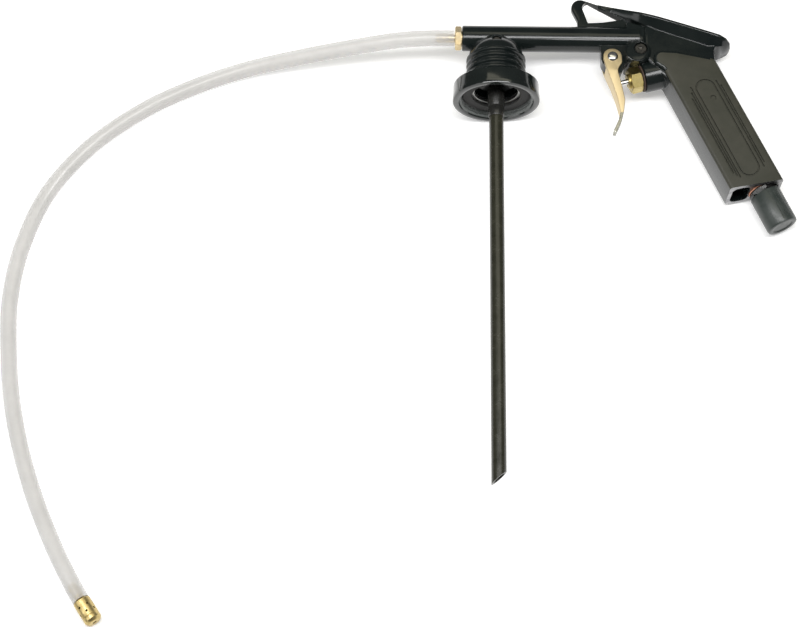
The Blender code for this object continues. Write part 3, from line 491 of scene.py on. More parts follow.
def loft(name: str, sections: Sequence[Sequence[Vector]]) -> bpy.types.Object:
    """Bridge closed sections with as many points each, and close both ends.

    Args:
        name: The new object's name.
        sections: The sections' points, in mm.

    Returns:
        The closed skin, in the gun's frame.
    """
    loops = [trace(f"{name}_{index}", [point * MM for point in section], closed=True)
             for index, section in enumerate(sections)]
    ends = [[point * MM for point in sections[0]], [point * MM for point in sections[-1]]]
    pick(*loops)
    bpy.ops.object.join()
    skin = loops[0]
    skin.name = name
    bpy.ops.object.mode_set(mode="EDIT")
    bpy.ops.mesh.select_all(action="SELECT")
    bpy.ops.mesh.bridge_edge_loops()
    for end in ends:
        bpy.ops.mesh.select_all(action="DESELECT")
        bpy.ops.object.mode_set(mode="OBJECT")
        for vertex in skin.data.vertices:
            vertex.select = any((vertex.co - point).length < MERGE for point in end)
        bpy.ops.object.mode_set(mode="EDIT")
        bpy.ops.mesh.edge_face_add()
    bpy.ops.mesh.select_all(action="SELECT")
    bpy.ops.mesh.normals_make_consistent(inside=False)
    bpy.ops.object.mode_set(mode="OBJECT")
    return skin


def bevelled(thing: bpy.types.Object, width: float, segments: int = 3,
             angle: float = 40.0) -> bpy.types.Object:
    """Round a piece's edges.

    Args:
        thing: The piece.
        width: The rounding's width, in mm.
        segments: How many faces it has.
        angle: The smallest angle between faces that counts as an edge, in degrees.

    Returns:
        The same piece.
    """
    rounding = thing.modifiers.new("rounding", "BEVEL")
    rounding.width = width * MM
    rounding.segments = segments
    rounding.limit_method = "ANGLE"
    rounding.angle_limit = math.radians(angle)
    pick(thing)
    bpy.ops.object.modifier_apply(modifier=rounding.name)
    return thing


def combined(thing: bpy.types.Object, others: Iterable[bpy.types.Object], operation: str,
             solver: str = "MANIFOLD") -> bpy.types.Object:
    """Join other closed shapes to a piece, or cut it with them, and remove them.

    Args:
        thing: The piece.
        others: The other shapes.
        operation: UNION, DIFFERENCE or INTERSECT.
        solver: The Boolean solver.

    Returns:
        The same piece.
    """
    for other in others:
        boolean = thing.modifiers.new(other.name, "BOOLEAN")
        boolean.operation = operation
        boolean.solver = solver
        boolean.object = other
        pick(thing)
        bpy.ops.object.modifier_apply(modifier=boolean.name)
        bpy.data.objects.remove(other, do_unlink=True)
    return thing


def hexagon(name: str, across: float, low: float, high: float, axis: Axis,
            chamfer: float = 0.6) -> bpy.types.Object:
    """Return a hexagon whose corners are turned off at both ends.

    Args:
        name: The new object's name.
        across: Its width across the flats, in mm.
        low: Its lower end along the axis, in mm.
        high: Its upper end along the axis, in mm.
        axis: The axis that it sits on.
        chamfer: How far the turned corners come down, in mm.

    Returns:
        The hexagon, in the gun's frame.
    """
    bpy.ops.object.select_all(action="DESELECT")
    bpy.ops.mesh.primitive_cylinder_add(vertices=6, radius=across / math.sqrt(3) * MM,
                                        depth=(high - low) * MM)
    nut = bpy.context.object
    nut.name = name
    nut.data.transform(axis.matrix() @ Matrix.Translation(ALONG_Z * (low + high) / 2 * MM))
    corner = across / math.sqrt(3) + 0.4
    flat = across / 2 - 0.2
    slope = (corner - flat) * chamfer
    envelope = turned(name + "_envelope", [
        (0.0, high + 0.2), (flat, high + 0.2), (corner, high + 0.2 - slope),
        (corner, low - 0.2 + slope),
        (flat, low - 0.2), (0.0, low - 0.2)], axis, 72, ring=False)
    return combined(nut, [envelope], "INTERSECT")


def settled(thing: bpy.types.Object, body: str, finish: Finish, slot: str,
            *nodes: str) -> bpy.types.Object:
    """Lay a finished piece on the bench, dress it and hide the CAD nodes that it stands for.

    Args:
        thing: The piece, in the gun's frame.
        body: The body that it rides on.
        finish: Its finish.
        slot: The material slot's name; not used.
        nodes: The CAD nodes that it stands for.

    Returns:
        The same piece.
    """
    thing.data.transform(PLACEMENT)
    pick(thing)
    bpy.ops.object.shade_smooth_by_angle(angle=SMOOTH_ANGLE)
    thing.data.materials.clear()
    thing.data.materials.append(finish.material())
    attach(thing, body)
    if nodes:
        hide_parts(*nodes)
    LOG.info("%s: %d faces on %s", thing.name, len(thing.data.polygons), body)
    return thing


# --------------------------------------------------------------------------- studio
@dataclass(frozen=True)
class Studio:
    """The pale floor, the soft lights and the camera."""

    camera_place: tuple[float, float, float] = (-0.03474, -0.41254, 0.96778)
    camera_turn: tuple[float, float, float] = (21.183, 4.924, 0.655)
    lens: float = 86.0

    def build(self) -> None:
        """Make the camera, the floor and the lights."""
        self._camera()
        self._floor()
        self._softbox("long_strip", (0.0, -0.09, 1.0), (1.3, 0.26), 12.5, (1.0, 1.0, 1.0))
        self._softbox("olive_bounce", (0.1, 0.4, 0.95), (1.1, 0.32), 1.5, (1.0, 0.96, 0.76))
        self._softbox("left_fill", (-1.0, -0.3, 0.7), (0.5, 0.8), 2.5, (1.0, 1.0, 1.0))
        world = bpy.data.worlds.new("studio_air")
        world.use_nodes = True
        tree = world.node_tree
        sky = tree.nodes.get("Background") or tree.nodes.new("ShaderNodeBackground")
        sky.inputs["Color"].default_value = (1.0, 0.995, 0.985, 1.0)
        sky.inputs["Strength"].default_value = 0.12
        scene = bpy.context.scene
        scene.world = world
        scene.view_settings.view_transform = "Standard"

    def _camera(self) -> None:
        """Make the camera and set it as the scene's."""
        data = bpy.data.cameras.new("bench_camera")
        data.lens = self.lens
        camera = bpy.data.objects.new("bench_camera", data)
        camera.location = self.camera_place
        camera.rotation_euler = [math.radians(turn) for turn in self.camera_turn]
        bpy.context.scene.collection.objects.link(camera)
        bpy.context.scene.camera = camera

    def _floor(self) -> None:
        """Make the plain pale floor."""
        bpy.ops.object.select_all(action="DESELECT")
        bpy.ops.mesh.primitive_plane_add(size=8.0)
        floor = bpy.context.object
        floor.name = "pale_floor"
        material = bpy.data.materials.new("pale_floor")
        material.use_nodes = True
        shader = material.node_tree.nodes["Principled BSDF"]
        shader.inputs["Base Color"].default_value = (0.85, 0.85, 0.85, 1.0)
        shader.inputs["Emission Color"].default_value = (1.0, 1.0, 1.0, 1.0)
        shader.inputs["Emission Strength"].default_value = 0.34
        shader.inputs["Roughness"].default_value = 0.9
        shader.inputs["Specular IOR Level"].default_value = 0.1
        floor.data.materials.append(material)

    def _softbox(self, name: str, place: tuple[float, float, float], size: tuple[float, float],
                 power: float, colour: tuple[float, float, float]) -> None:
        """Hang one soft light that looks at the middle of the bench.

        Args:
            name: The light's name.
            place: Where it hangs, in metres.
            size: Its width and height, in metres.
            power: Its power, in watts.
            colour: Its colour.
        """
        data = bpy.data.lights.new(name, "AREA")
        data.color = colour
        data.shape = "RECTANGLE"
        data.size, data.size_y = size
        data.energy = power
        light = bpy.data.objects.new(name, data)
        light.location = place
        light.rotation_euler = (-Vector(place)).to_track_quat("-Z", "Y").to_euler()
        bpy.context.scene.collection.objects.link(light)


# --------------------------------------------------------------------------- probe
@dataclass(frozen=True)
class Probe:
    """The connector in the barrel's end, the milky probe hose and its drilled tip."""

    hose_radius: float = 4.5
    bore_radius: float = 2.9
    hose_length: float = 0.50
    step: float = 4.0
    tip_radius: float = 4.7
    tip_length: float = 14.0
    # The hose's route in mm, measured from the foot of the gun's frame.
    route: tuple[tuple[float, float, float], ...] = (
        (-23.0, 0.0, 26.2), (-34.0, 0.0, 27.0), (-46.0, 0.0, 26.8), (-59.0, 0.0, 25.2),
        (-84.0, -0.5, 19.7), (-114.0, -1.8, 12.6), (-144.0, -5.4, 7.2), (-173.4, -14.0, 4.8),
        (-202.7, -28.2, 4.6), (-232.0, -50.2, 4.6), (-254.3, -78.3, 4.6), (-266.7, -111.2, 4.6),
        (-271.0, -143.2, 4.6), (-269.2, -173.0, 4.6), (-265.0, -201.8, 4.6), (-257.7, -229.9, 4.6),
        (-247.6, -257.5, 4.6), (-234.9, -284.7, 4.6), (-222.9, -306.0, 4.6), (-218.6, -312.6, 4.6),
    )

    def build(self) -> None:
        """Make every piece of the probe."""
        path = self._path()
        tip = self._tip(path)
        hose = self._tube("hose", path, self.hose_radius, HOSE_WALL)
        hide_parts("probe_hose")
        inset = max(1, round(1.0 / self.step))
        self._tube("hose_core", path[inset:-inset], self.bore_radius, HOSE_CORE)
        self._union()

    def _path(self) -> list[Vector]:
        """Return points along a smooth curve through the route, in metres on the bench."""
        foot = PLACEMENT.translation
        points = [Vector((x * MM + foot.x, y * MM + foot.y, z * MM)) for x, y, z in self.route]
        padded = [2 * points[0] - points[1], *points, 2 * points[-1] - points[-2]]
        path = [points[0]]
        for index in range(1, len(padded) - 2):
            before, start, end, after = padded[index - 1:index + 3]
            pieces = max(1, round((end - start).length / (self.step * MM)))
            for piece in range(1, pieces + 1):
                share = piece / pieces
                path.append(0.5 * (2 * start + (end - before) * share
                                   + (2 * before - 5 * start + 4 * end - after) * share ** 2
                                   + (3 * start - before - 3 * end + after) * share ** 3))
        return path

    def _tube(self, name: str, path: Sequence[Vector], radius: float,
              finish: Finish) -> bpy.types.Object:
        """Lay a round tube along a path.

        Args:
            name: The new object's name.
            path: The points that it follows, in metres.
            radius: Its radius, in mm.
            finish: Its finish.

        Returns:
            The curve.
        """
        curve = bpy.data.curves.new(name, "CURVE")
        curve.dimensions = "3D"
        curve.bevel_depth = radius * MM
        curve.bevel_resolution = 8
        curve.use_fill_caps = True
        spline = curve.splines.new("POLY")
        spline.points.add(len(path) - 1)
        for point, place in zip(spline.points, path):
            point.co = (*place, 1.0)
        spline.use_smooth = True
        thing = bpy.data.objects.new(name, curve)
        bpy.context.scene.collection.objects.link(thing)
        curve.materials.append(finish.material())
        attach(thing, "gun")
        LOG.info("%s: %d points", name, len(path))
        return thing

    def _tip(self, path: Sequence[Vector]) -> bpy.types.Object:
        """Make the drilled brass tip with its barb inside the hose.

        Args:
            path: The hose's points, in metres.

        Returns:
            The tip.
        """
        along = path[-1] - path[-2]
        along.z = 0.0
        along.normalize()
        start = path[-1] + along * 0.3 * MM
        start.z = self.tip_radius * MM
        radius, length = self.tip_radius, self.tip_length
        local = Axis((0.0, 0.0, 0.0), (0.0, 0.0, 1.0))
        profile = [(0.0, length), (3.2, length), (3.7, length - 0.3), (radius, length - 1.6)]
        profile += [(radius, length - 3.4), (radius - 0.25, length - 3.6),
                    (radius - 0.25, length - 3.9),
                    (radius, length - 4.1), (radius, 0.6), (radius - 0.5, 0.0), (2.4, 0.0)]
        for barb in range(3):
            top = -0.6 - 3.1 * barb
            profile += [(2.3, top), (2.75, top - 0.3), (2.2, top - 2.6)]
        profile += [(2.0, -10.2), (0.0, -10.2)]
        tip = turned("drilled_tip", profile, local, 56, ring=False)
        drills = []
        for row, height in enumerate((4.2, 7.6)):
            for hole in range(3):
                turn = math.radians(60 * hole + 30 * row)
                across = Axis((0.0, 0.0, height), (math.cos(turn), math.sin(turn), 0.0),
                              (0.0, 0.0, 1.0))
                drills.append(drill(f"spray_hole_{row}_{hole}", 0.62, -9.0, 9.0, across, 20))
        drills.append(drill("front_hole", 1.1, length - 2.0, length + 1.0, local, 24))
        combined(tip, drills, "DIFFERENCE")
        side = ALONG_Z
        turn = Matrix((side.cross(along), side, along)).transposed().to_4x4()
        tip.data.transform(PLACEMENT.inverted() @ Matrix.Translation(start) @ turn)
        brass = Finish("tip_turned_brass", (0.62, 0.49, 0.22), (0.45, 0.34, 0.14), 0.38, 0.08,
                       metallic=1.0,
                       grain=Grain.TURNED, grain_size=0.3, mottle_size=3.0, relief=0.01,
                       axis=tuple(along), edge=0.15)
        return settled(tip, "gun", brass, "tip_brass", "spray_tip")

    def _union(self) -> bpy.types.Object:
        """Make the brass connector: its flange, its shank and its barb inside the hose."""
        profile = [(0.0, -8.5), (3.8, -8.5), (4.1, -8.9), (4.1, -12.0), (3.2, -12.0), (3.2, -15.0),
                   (4.1, -15.0), (4.1, -20.0), (0.0, -20.0)]
        union = turned("hose_union", profile, BARREL, 48, ring=False)
        flange = hexagon("union_flange", 11.6, -22.8, -19.2, BARREL)
        barb = [(0.0, -22.0), (2.5, -22.0)]
        for tooth in range(3):
            top = -23.8 - 3.2 * tooth
            barb += [(2.2, top), (2.75, top - 0.4), (2.2, top - 2.7)]
        barb += [(1.9, -33.6), (0.0, -33.6)]
        shank = turned("union_barb", barb, BARREL, 48, ring=False)
        combined(union, [flange, shank], "UNION")
        combined(union, [drill("union_bore", 1.4, -40.0, -5.0, BARREL, 24)], "DIFFERENCE")
        return settled(union, "gun", BRASS_X, "connector_brass", "hose_connector")


# --------------------------------------------------------------------------- casting
@dataclass(frozen=True)
class Casting:
    """The painted casting: barrel, neck, hook, guard, head and grip."""

    barrel_radius: float = 7.2
    barrel_front: float = -18.9
    barrel_rear: float = 80.0
    neck_root: float = 15.3
    neck_rib: float = 16.6
    rib_top: float = -12.4
    rib_pitch: float = 3.6
    ribs: int = 5
    neck_bottom: float = -32.0
    head_half: float = 8.4
    lug_half: float = 4.0
    groove_depth: float = 0.9

    def build(self) -> None:
        """Make the casting and paint it, with its grip's cut end left bare."""
        body = self._barrel()
        combined(body, [self._neck(), self._hook(), self._guard(), *self._head(), self._grip(),
                        *self._bosses()], "UNION")
        combined(body, [*self._bores(), *self._grip_marks()], "DIFFERENCE")
        pick(body)
        bpy.ops.object.mode_set(mode="EDIT")
        bpy.ops.mesh.select_all(action="SELECT")
        bpy.ops.mesh.remove_doubles(threshold=2 * MERGE)
        bpy.ops.mesh.dissolve_limited(angle_limit=math.radians(0.3))
        bpy.ops.object.mode_set(mode="OBJECT")
        settled(body, "gun", PAINT, "casting_paint", "gun_body")
        self._bare_end(body)

    def _bare_end(self, body: bpy.types.Object) -> None:
        """Leave the cut end of the grip unpainted.

        Args:
            body: The casting, on the bench.
        """
        body.data.materials.append(BARE_METAL.material())
        body.data.materials.append(GRIP_PAINT.material())
        down = (PLACEMENT.to_3x3() @ DOWN_GRIP).normalized()
        side = (PLACEMENT.to_3x3() @ ALONG_Y).normalized()
        top = PLACEMENT @ (GRIP_FRONT * MM)
        for face in body.data.polygons:
            along = (face.center - top).dot(down)
            if along > 70.0 * MM and face.normal.dot(down) > 0.9:
                face.material_index = 1
            elif along > -2.0 * MM and abs((face.center - top).dot(side)) > (GRIP_HALF - 1.8) * MM:
                face.material_index = 2

    def _barrel(self) -> bpy.types.Object:
        """Return the barrel with its turned front edge."""
        return turned("casting", [
            (0.0, self.barrel_rear), (self.barrel_radius, self.barrel_rear),
            (self.barrel_radius, self.barrel_front + 0.7),
            (self.barrel_radius - 0.25, self.barrel_front + 0.2),
            (self.barrel_radius - 0.7, self.barrel_front), (0.0, self.barrel_front)], BARREL, 80,
            ring=False)

    def _neck(self) -> bpy.types.Object:
        """Return the bell under the barrel, with its coarse round ribs."""
        profile = [(0.0, 1.0), (5.4, 1.0), (7.4, -1.5), (9.3, -3.6), (11.2, -5.1), (12.9, -6.6),
                   (14.2, -8.3), (15.0, -10.2), (self.neck_root, self.rib_top)]
        swell = self.neck_rib - self.neck_root
        for rib in range(self.ribs):
            top = self.rib_top - rib * self.rib_pitch
            for share, rise in ((0.1, 0.0), (0.22, 0.55), (0.36, 0.94), (0.5, 1.0), (0.66, 0.94),
                                (0.8, 0.55), (0.9, 0.0)):
                profile.append((self.neck_root + swell * rise, top - share * self.rib_pitch))
        profile += [(self.neck_root, self.neck_bottom), (0.0, self.neck_bottom)]
        return turned("neck_bell", profile, NECK, 80, ring=False)

    def _hook(self) -> bpy.types.Object:
        """Return the hanging loop between the barrel and the guard."""
        outer = rounded([(45.9, 3.0, 0), (45.7, 11.2, 3), (42.2, 18.8, 5), (44.2, 26.2, 5),
                         (57.5, 21.4, 0), (64.4, 19.1, 0), (70.0, 16.8, 0), (80.0, 11.0, 0),
                         (82.0, 3.0, 0)])
        eye = rounded([(51.6, 9.3, 1.0), (48.3, 19.6, 3.0), (51.0, 23.7, 1.6), (58.0, 19.8, 3.0),
                       (71.6, 11.7, 0.6), (60.0, 9.8, 5.0)])
        hook = bevelled(slab("hook", outer, -2.3, 2.3), 1.3, 4)
        return combined(hook, [slab("hook_eye", eye, -6.0, 6.0)], "DIFFERENCE")

    def _guard(self) -> bpy.types.Object:
        """Return the guard plate above the hand, from the hook's bar to the beak."""
        stations = ((57.5, 21.5, 1.9, 1.3, 2.2), (64.4, 19.4, 3.0, 2.2, 3.2),
                    (70.0, 17.2, 5.0, 3.4, 3.8),
                    (75.0, 14.3, 8.4, 5.8, 4.2), (80.0, 11.7, 11.4, 7.9, 4.8),
                    (84.0, 10.2, 12.3, 8.3, 5.6),
                    (89.6, 8.7, 12.3, 8.3, 6.8), (104.0, 4.1, 12.3, 8.3, 7.3),
                    (117.4, -0.3, 12.3, 8.3, 7.6),
                    (123.5, -2.3, 12.1, 8.1, 5.5), (127.2, -3.6, 10.4, 7.0, 3.2),
                    (129.6, -4.4, 7.0, 4.6, 2.0),
                    (130.4, -4.7, 3.4, 2.2, 1.2))
        sections = []
        for along, top, half, inner, drop in stations:
            edge = min(1.5, drop * 0.55)
            crown = min(0.9, half * 0.12)
            section = ((-half, top - edge), (-half, top - 0.35), (-half + 0.35, top),
                       (-half * 0.5, top + crown * 0.7), (0.0, top + crown),
                       (half * 0.5, top + crown * 0.7),
                       (half - 0.35, top), (half, top - 0.35), (half, top - edge),
                       (inner, top - drop), (-inner, top - drop))
            sections.append([Vector((along, across, up)) for across, up in section])
        return loft("guard", sections)

    def _head(self) -> list[bpy.types.Object]:
        """Return the head between barrel and grip: rear, front and trigger lug."""
        rear = rounded([(83.0, 6.5, 0), (123.0, -5.4, 0), (120.9, -10.0, 3), (121.2, -16.0, 3),
                        (123.6, -22.5, 0), (112.0, -34.0, 0), (95.5, -30.0, 0), (88.0, -22.0, 2),
                        (82.5, -15.4, 2), (82.0, -2.0, 0)])
        front = rounded([(72.5, 9.0, 0), (86.0, 5.0, 0), (88.0, -15.2, 0), (76.0, -15.2, 2),
                         (72.8, -10.0, 2)])
        lug = rounded([(58.4, -2.0, 0), (58.4, -19.3, 5.4), (66.4, -19.3, 1), (66.3, -23.0, 1),
                       (69.0, -22.8, 1), (71.5, -16.0, 2), (84.0, -15.6, 0), (86.0, -2.0, 0)])
        return [
            bevelled(slab("head_rear", rear, -self.head_half, self.head_half), 1.7, 4),
            bevelled(slab("head_front", front, -6.4, 6.4), 1.4, 4),
            slab("trigger_lug", lug, -self.lug_half, self.lug_half),
        ]

    def _grip(self) -> bpy.types.Object:
        """Return the slanted grip, cut flat at its end."""
        reach = GRIP_LENGTH + 12.0
        front, back = grip_point(0.0, reach), grip_point(GRIP_DEPTH + 0.9, reach)
        top = grip_point(GRIP_DEPTH + 0.4, 1.6)
        outline = rounded([(86.2, -11.6, 4.5), (87.0, -19.8, 4.2), (92.2, -23.6, 3.6), (*front, 0),
                           (*back, 0), (*top, 4.5), (99.3, -12.2, 0)])
        grip = bevelled(slab("grip", outline, -GRIP_HALF, GRIP_HALF - 0.7), 1.7, 5)
        end = block("grip_end", (-40, -40, 0), (40, 40, 40), INLET.matrix()
                    @ Matrix.Translation(ALONG_Z * (GRIP_LENGTH + 2.0) * MM) @ Matrix.Rotation(END_TILT,
                                                                                               4, "Y"))
        return combined(grip, [end], "DIFFERENCE")

    def _bosses(self) -> list[bpy.types.Object]:
        """Return the valve's boss and the two bosses over the cross drillings."""
        boss = turned("valve_boss", [(0.0, 8.0), (8.4, 8.0), (8.4, -9.6), (8.1, -10.2), (7.5, -10.5),
                                     (0.0, -10.5)], VALVE, 64, ring=False)
        front = turned("front_boss", [(0.0, 11.6), (3.4, 11.6), (3.9, 11.3), (4.1, 10.7), (4.4, 8.0),
                                      (5.6, 5.5), (5.6, 1.0), (0.0, 1.0)], FRONT_DRILLING, 48,
                                      ring=False)
        outline = stadium((76.6, -11.9), (78.6, -11.9), 6.9, 20)
        rear = bevelled(slab("rear_boss", outline, -9.6, 9.6), 1.5, 5)
        ridge = turned("rear_ridge", [(5.6, 9.0), (5.9, 10.1), (6.3, 10.3), (6.7, 10.1), (7.0, 9.0)],
                       Axis((77.6, 0.0, -11.9), (0.0, -1.0, 0.0), (0.0, 0.0, 1.0)), 56)
        return [boss, front, rear, ridge]

    def _bores(self) -> list[bpy.types.Object]:
        """Return the cutters for the bores, the pocket and the room round the trigger."""
        neck = turned("neck_bore", [
            (0.0, -12.0), (4.3, -12.0), (4.3, -18.0), (5.3, -18.0), (5.3, -22.0), (9.0, -24.0),
            (12.0, -27.0),
            (12.0, -33.0), (0.0, -33.0)], NECK, 56, ring=False)
        pocket = bevelled(block("grip_pocket", (7.6, -8.3, 54.0), (17.2, 8.5, GRIP_LENGTH + 9.0),
                                INLET.matrix()), 3.6, 6)
        relief_span = (57.3, -24.0), (71.8, -5.4)
        reliefs = [block(f"trigger_room_{side:.0f}",
                         (relief_span[0][0], min(side * self.lug_half, side * 9.9),
                                                      relief_span[0][1]),
                         (relief_span[1][0], max(side * self.lug_half, side * 9.9), relief_span[1][1]),
                         Matrix.Identity(4)) for side in (-1.0, 1.0)]
        return [
            drill("barrel_bore", 4.5, self.barrel_front - 1.0, 60.0, BARREL, 48),
            neck,
            drill("front_drilling", 2.6, 1.2, 14.0, FRONT_DRILLING, 32),
            drill("rear_drilling", 3.6, 0.6, 12.0, REAR_DRILLING, 40),
            drill("valve_bore", 5.2, -12.0, 20.0, VALVE, 48),
            drill("inlet_bore", 6.6, 64.0, GRIP_LENGTH + 1.0, INLET, 48),
            drill("inlet_face", 8.45, GRIP_LENGTH, GRIP_LENGTH + 12.0, INLET, 64),
            pocket,
            drill("pin_bore", 2.3, -9.0, 9.0, PIVOT, 32),
            *reliefs,
        ]

    def _grip_marks(self) -> list[bpy.types.Object]:
        """Return the cutters for the panel outline, the finger lines and the round mark."""
        cutters = []
        for side in (-1.0, 1.0):
            outside = side * (GRIP_HALF + 0.6)
            inside = side * (GRIP_HALF - self.groove_depth)
            low, high = min(outside, inside), max(outside, inside)
            panel = slab("panel_groove",
                         stadium(grip_point(15.0, 16.4), grip_point(15.0, 68.0), 5.7, 24), low, high)
            island = slab("panel_island",
                          stadium(grip_point(15.0, 16.4), grip_point(15.0, 68.0), 4.8, 24),
                          low - 1.0, high + 1.0)
            cutters.append(combined(panel, [island], "DIFFERENCE"))
            for depth, start, end in ((7.7, 12.8, 71.7), (6.5, 16.0, 70.0), (5.3, 19.5, 68.0),
                                      (22.4, 14.5, 71.0), (23.6, 18.0, 68.5)):
                line = stadium(grip_point(depth, start), grip_point(depth, end), 0.42, 6)
                cutters.append(slab("finger_line", line, low, high))
            spot = stadium(grip_point(16.2, 23.2), grip_point(16.2, 23.25), 1.6, 16)
            cutters.append(slab("round_mark", spot, low, high))
        return cutters


# --------------------------------------------------------------------------- can joint
@dataclass(frozen=True)
class CanJoint:
    """The collar that takes a can's neck, and the seat inside it."""

    outer: float = 24.05
    bore: float = 20.4
    crest: float = 19.4
    top: float = -29.9
    bottom: float = -40.0
    pitch: float = 1.5
    threads: int = 5

    def build(self) -> None:
        """Make the collar, the flange and the gasket."""
        self._collar()
        flange = turned("seat_flange", [(18.8, -32.3), (19.0, -32.5), (19.0, -34.0), (18.8, -34.2),
                                        (12.2, -34.2), (12.0, -34.0), (12.0, -32.5), (12.2, -32.3)],
                                        NECK, 72)
        settled(flange, "gun", ZINC, "flange_zinc", "siphon_flange")
        gasket = turned("seat_gasket", [(18.4, -34.5), (18.6, -34.7), (18.6, -35.8), (18.4, -36.0),
                                        (13.6, -36.0), (13.4, -35.8), (13.4, -34.7), (13.6, -34.5)],
                                        NECK, 72)
        settled(gasket, "gun", GASKET, "gasket_rubber", "can_gasket")

    def _collar(self) -> None:
        """Make the collar with its rounded shoulder, its wide rim and its thread."""
        outer, top, bottom = self.outer, self.top, self.bottom
        profile = [(15.6, top), (outer - 1.3, top), (outer - 0.7, top - 0.15),
                   (outer - 0.3, top - 0.55),
                   (outer - 0.2, top - 1.1), (outer - 0.2, top - 7.2), (outer, top - 7.4),
                   (outer, bottom + 0.9), (outer - 0.2, bottom + 0.35), (outer - 0.8, bottom),
                   (self.bore + 0.9, bottom), (self.bore + 0.3, bottom + 0.25)]
        start = bottom + 0.9
        for thread in range(self.threads):
            low = start + thread * self.pitch
            rise = self.bore - self.crest
            for share, lift in ((0.0, 0.0), (0.22, 0.2), (0.38, 0.85), (0.5, 1.0), (0.62, 0.85),
                                (0.78, 0.2)):
                profile.append((self.bore - rise * lift, low + share * self.pitch))
        profile += [(self.bore, start + self.threads * self.pitch), (self.bore, top - 1.6),
                    (15.6, top - 1.6)]
        collar = turned("collar_ring", profile, NECK, 96)
        settled(collar, "collar", COLLAR_BLACK, "collar_black", "can_collar")
        # Painted light: the faces inside the bore take the lighter grey, as if light fell on the thread
        # inside the black collar.
        collar.data.materials.append(THREAD_SATIN_PAINTED_LIGHT.material())
        middle = PLACEMENT.translation
        for face in collar.data.polygons:
            reach = math.hypot(face.center.x - middle.x, face.center.z - middle.z)
            if reach < (self.bore + 0.1) * MM:
                face.material_index = 1


# --------------------------------------------------------------------------- suction
@dataclass(frozen=True)
class Suction:
    """The suction tube and the sleeve that grips it."""

    radius: float = 3.95
    bore: float = 2.9
    top: float = -13.0
    long_side: float = -259.0
    short_side: float = -252.0

    def build(self) -> None:
        """Make the tube with its oblique end, and the sleeve."""
        tube = turned("dip_tube", [(self.radius, self.top), (self.radius, self.long_side - 6.0),
                                   (self.bore, self.long_side - 6.0), (self.bore, self.top)], NECK, 56)
        slope = math.atan2(self.short_side - self.long_side, 2 * self.radius)
        middle = (self.long_side + self.short_side) / 2
        placing = Matrix.Translation(ALONG_Z * middle * MM) @ Matrix.Rotation(-slope, 4, "Y")
        combined(tube, [block("tube_end", (-15, -10, -20), (15, 10, 0), placing)], "DIFFERENCE")
        settled(tube, "gun", OLIVE, "tube_olive", "suction_tube")
        sleeve = turned("dip_sleeve", [
            (4.6, -18.5), (4.65, -18.7), (4.6, -42.6), (4.45, -42.9), (4.45, -43.6), (4.55, -43.9),
            (4.45, -48.4), (4.3, -48.9), (4.15, -49.0), (4.05, -49.0), (4.05, -18.5)], NECK, 56)
        settled(sleeve, "gun", SLEEVE, "sleeve_black", "tube_sleeve")


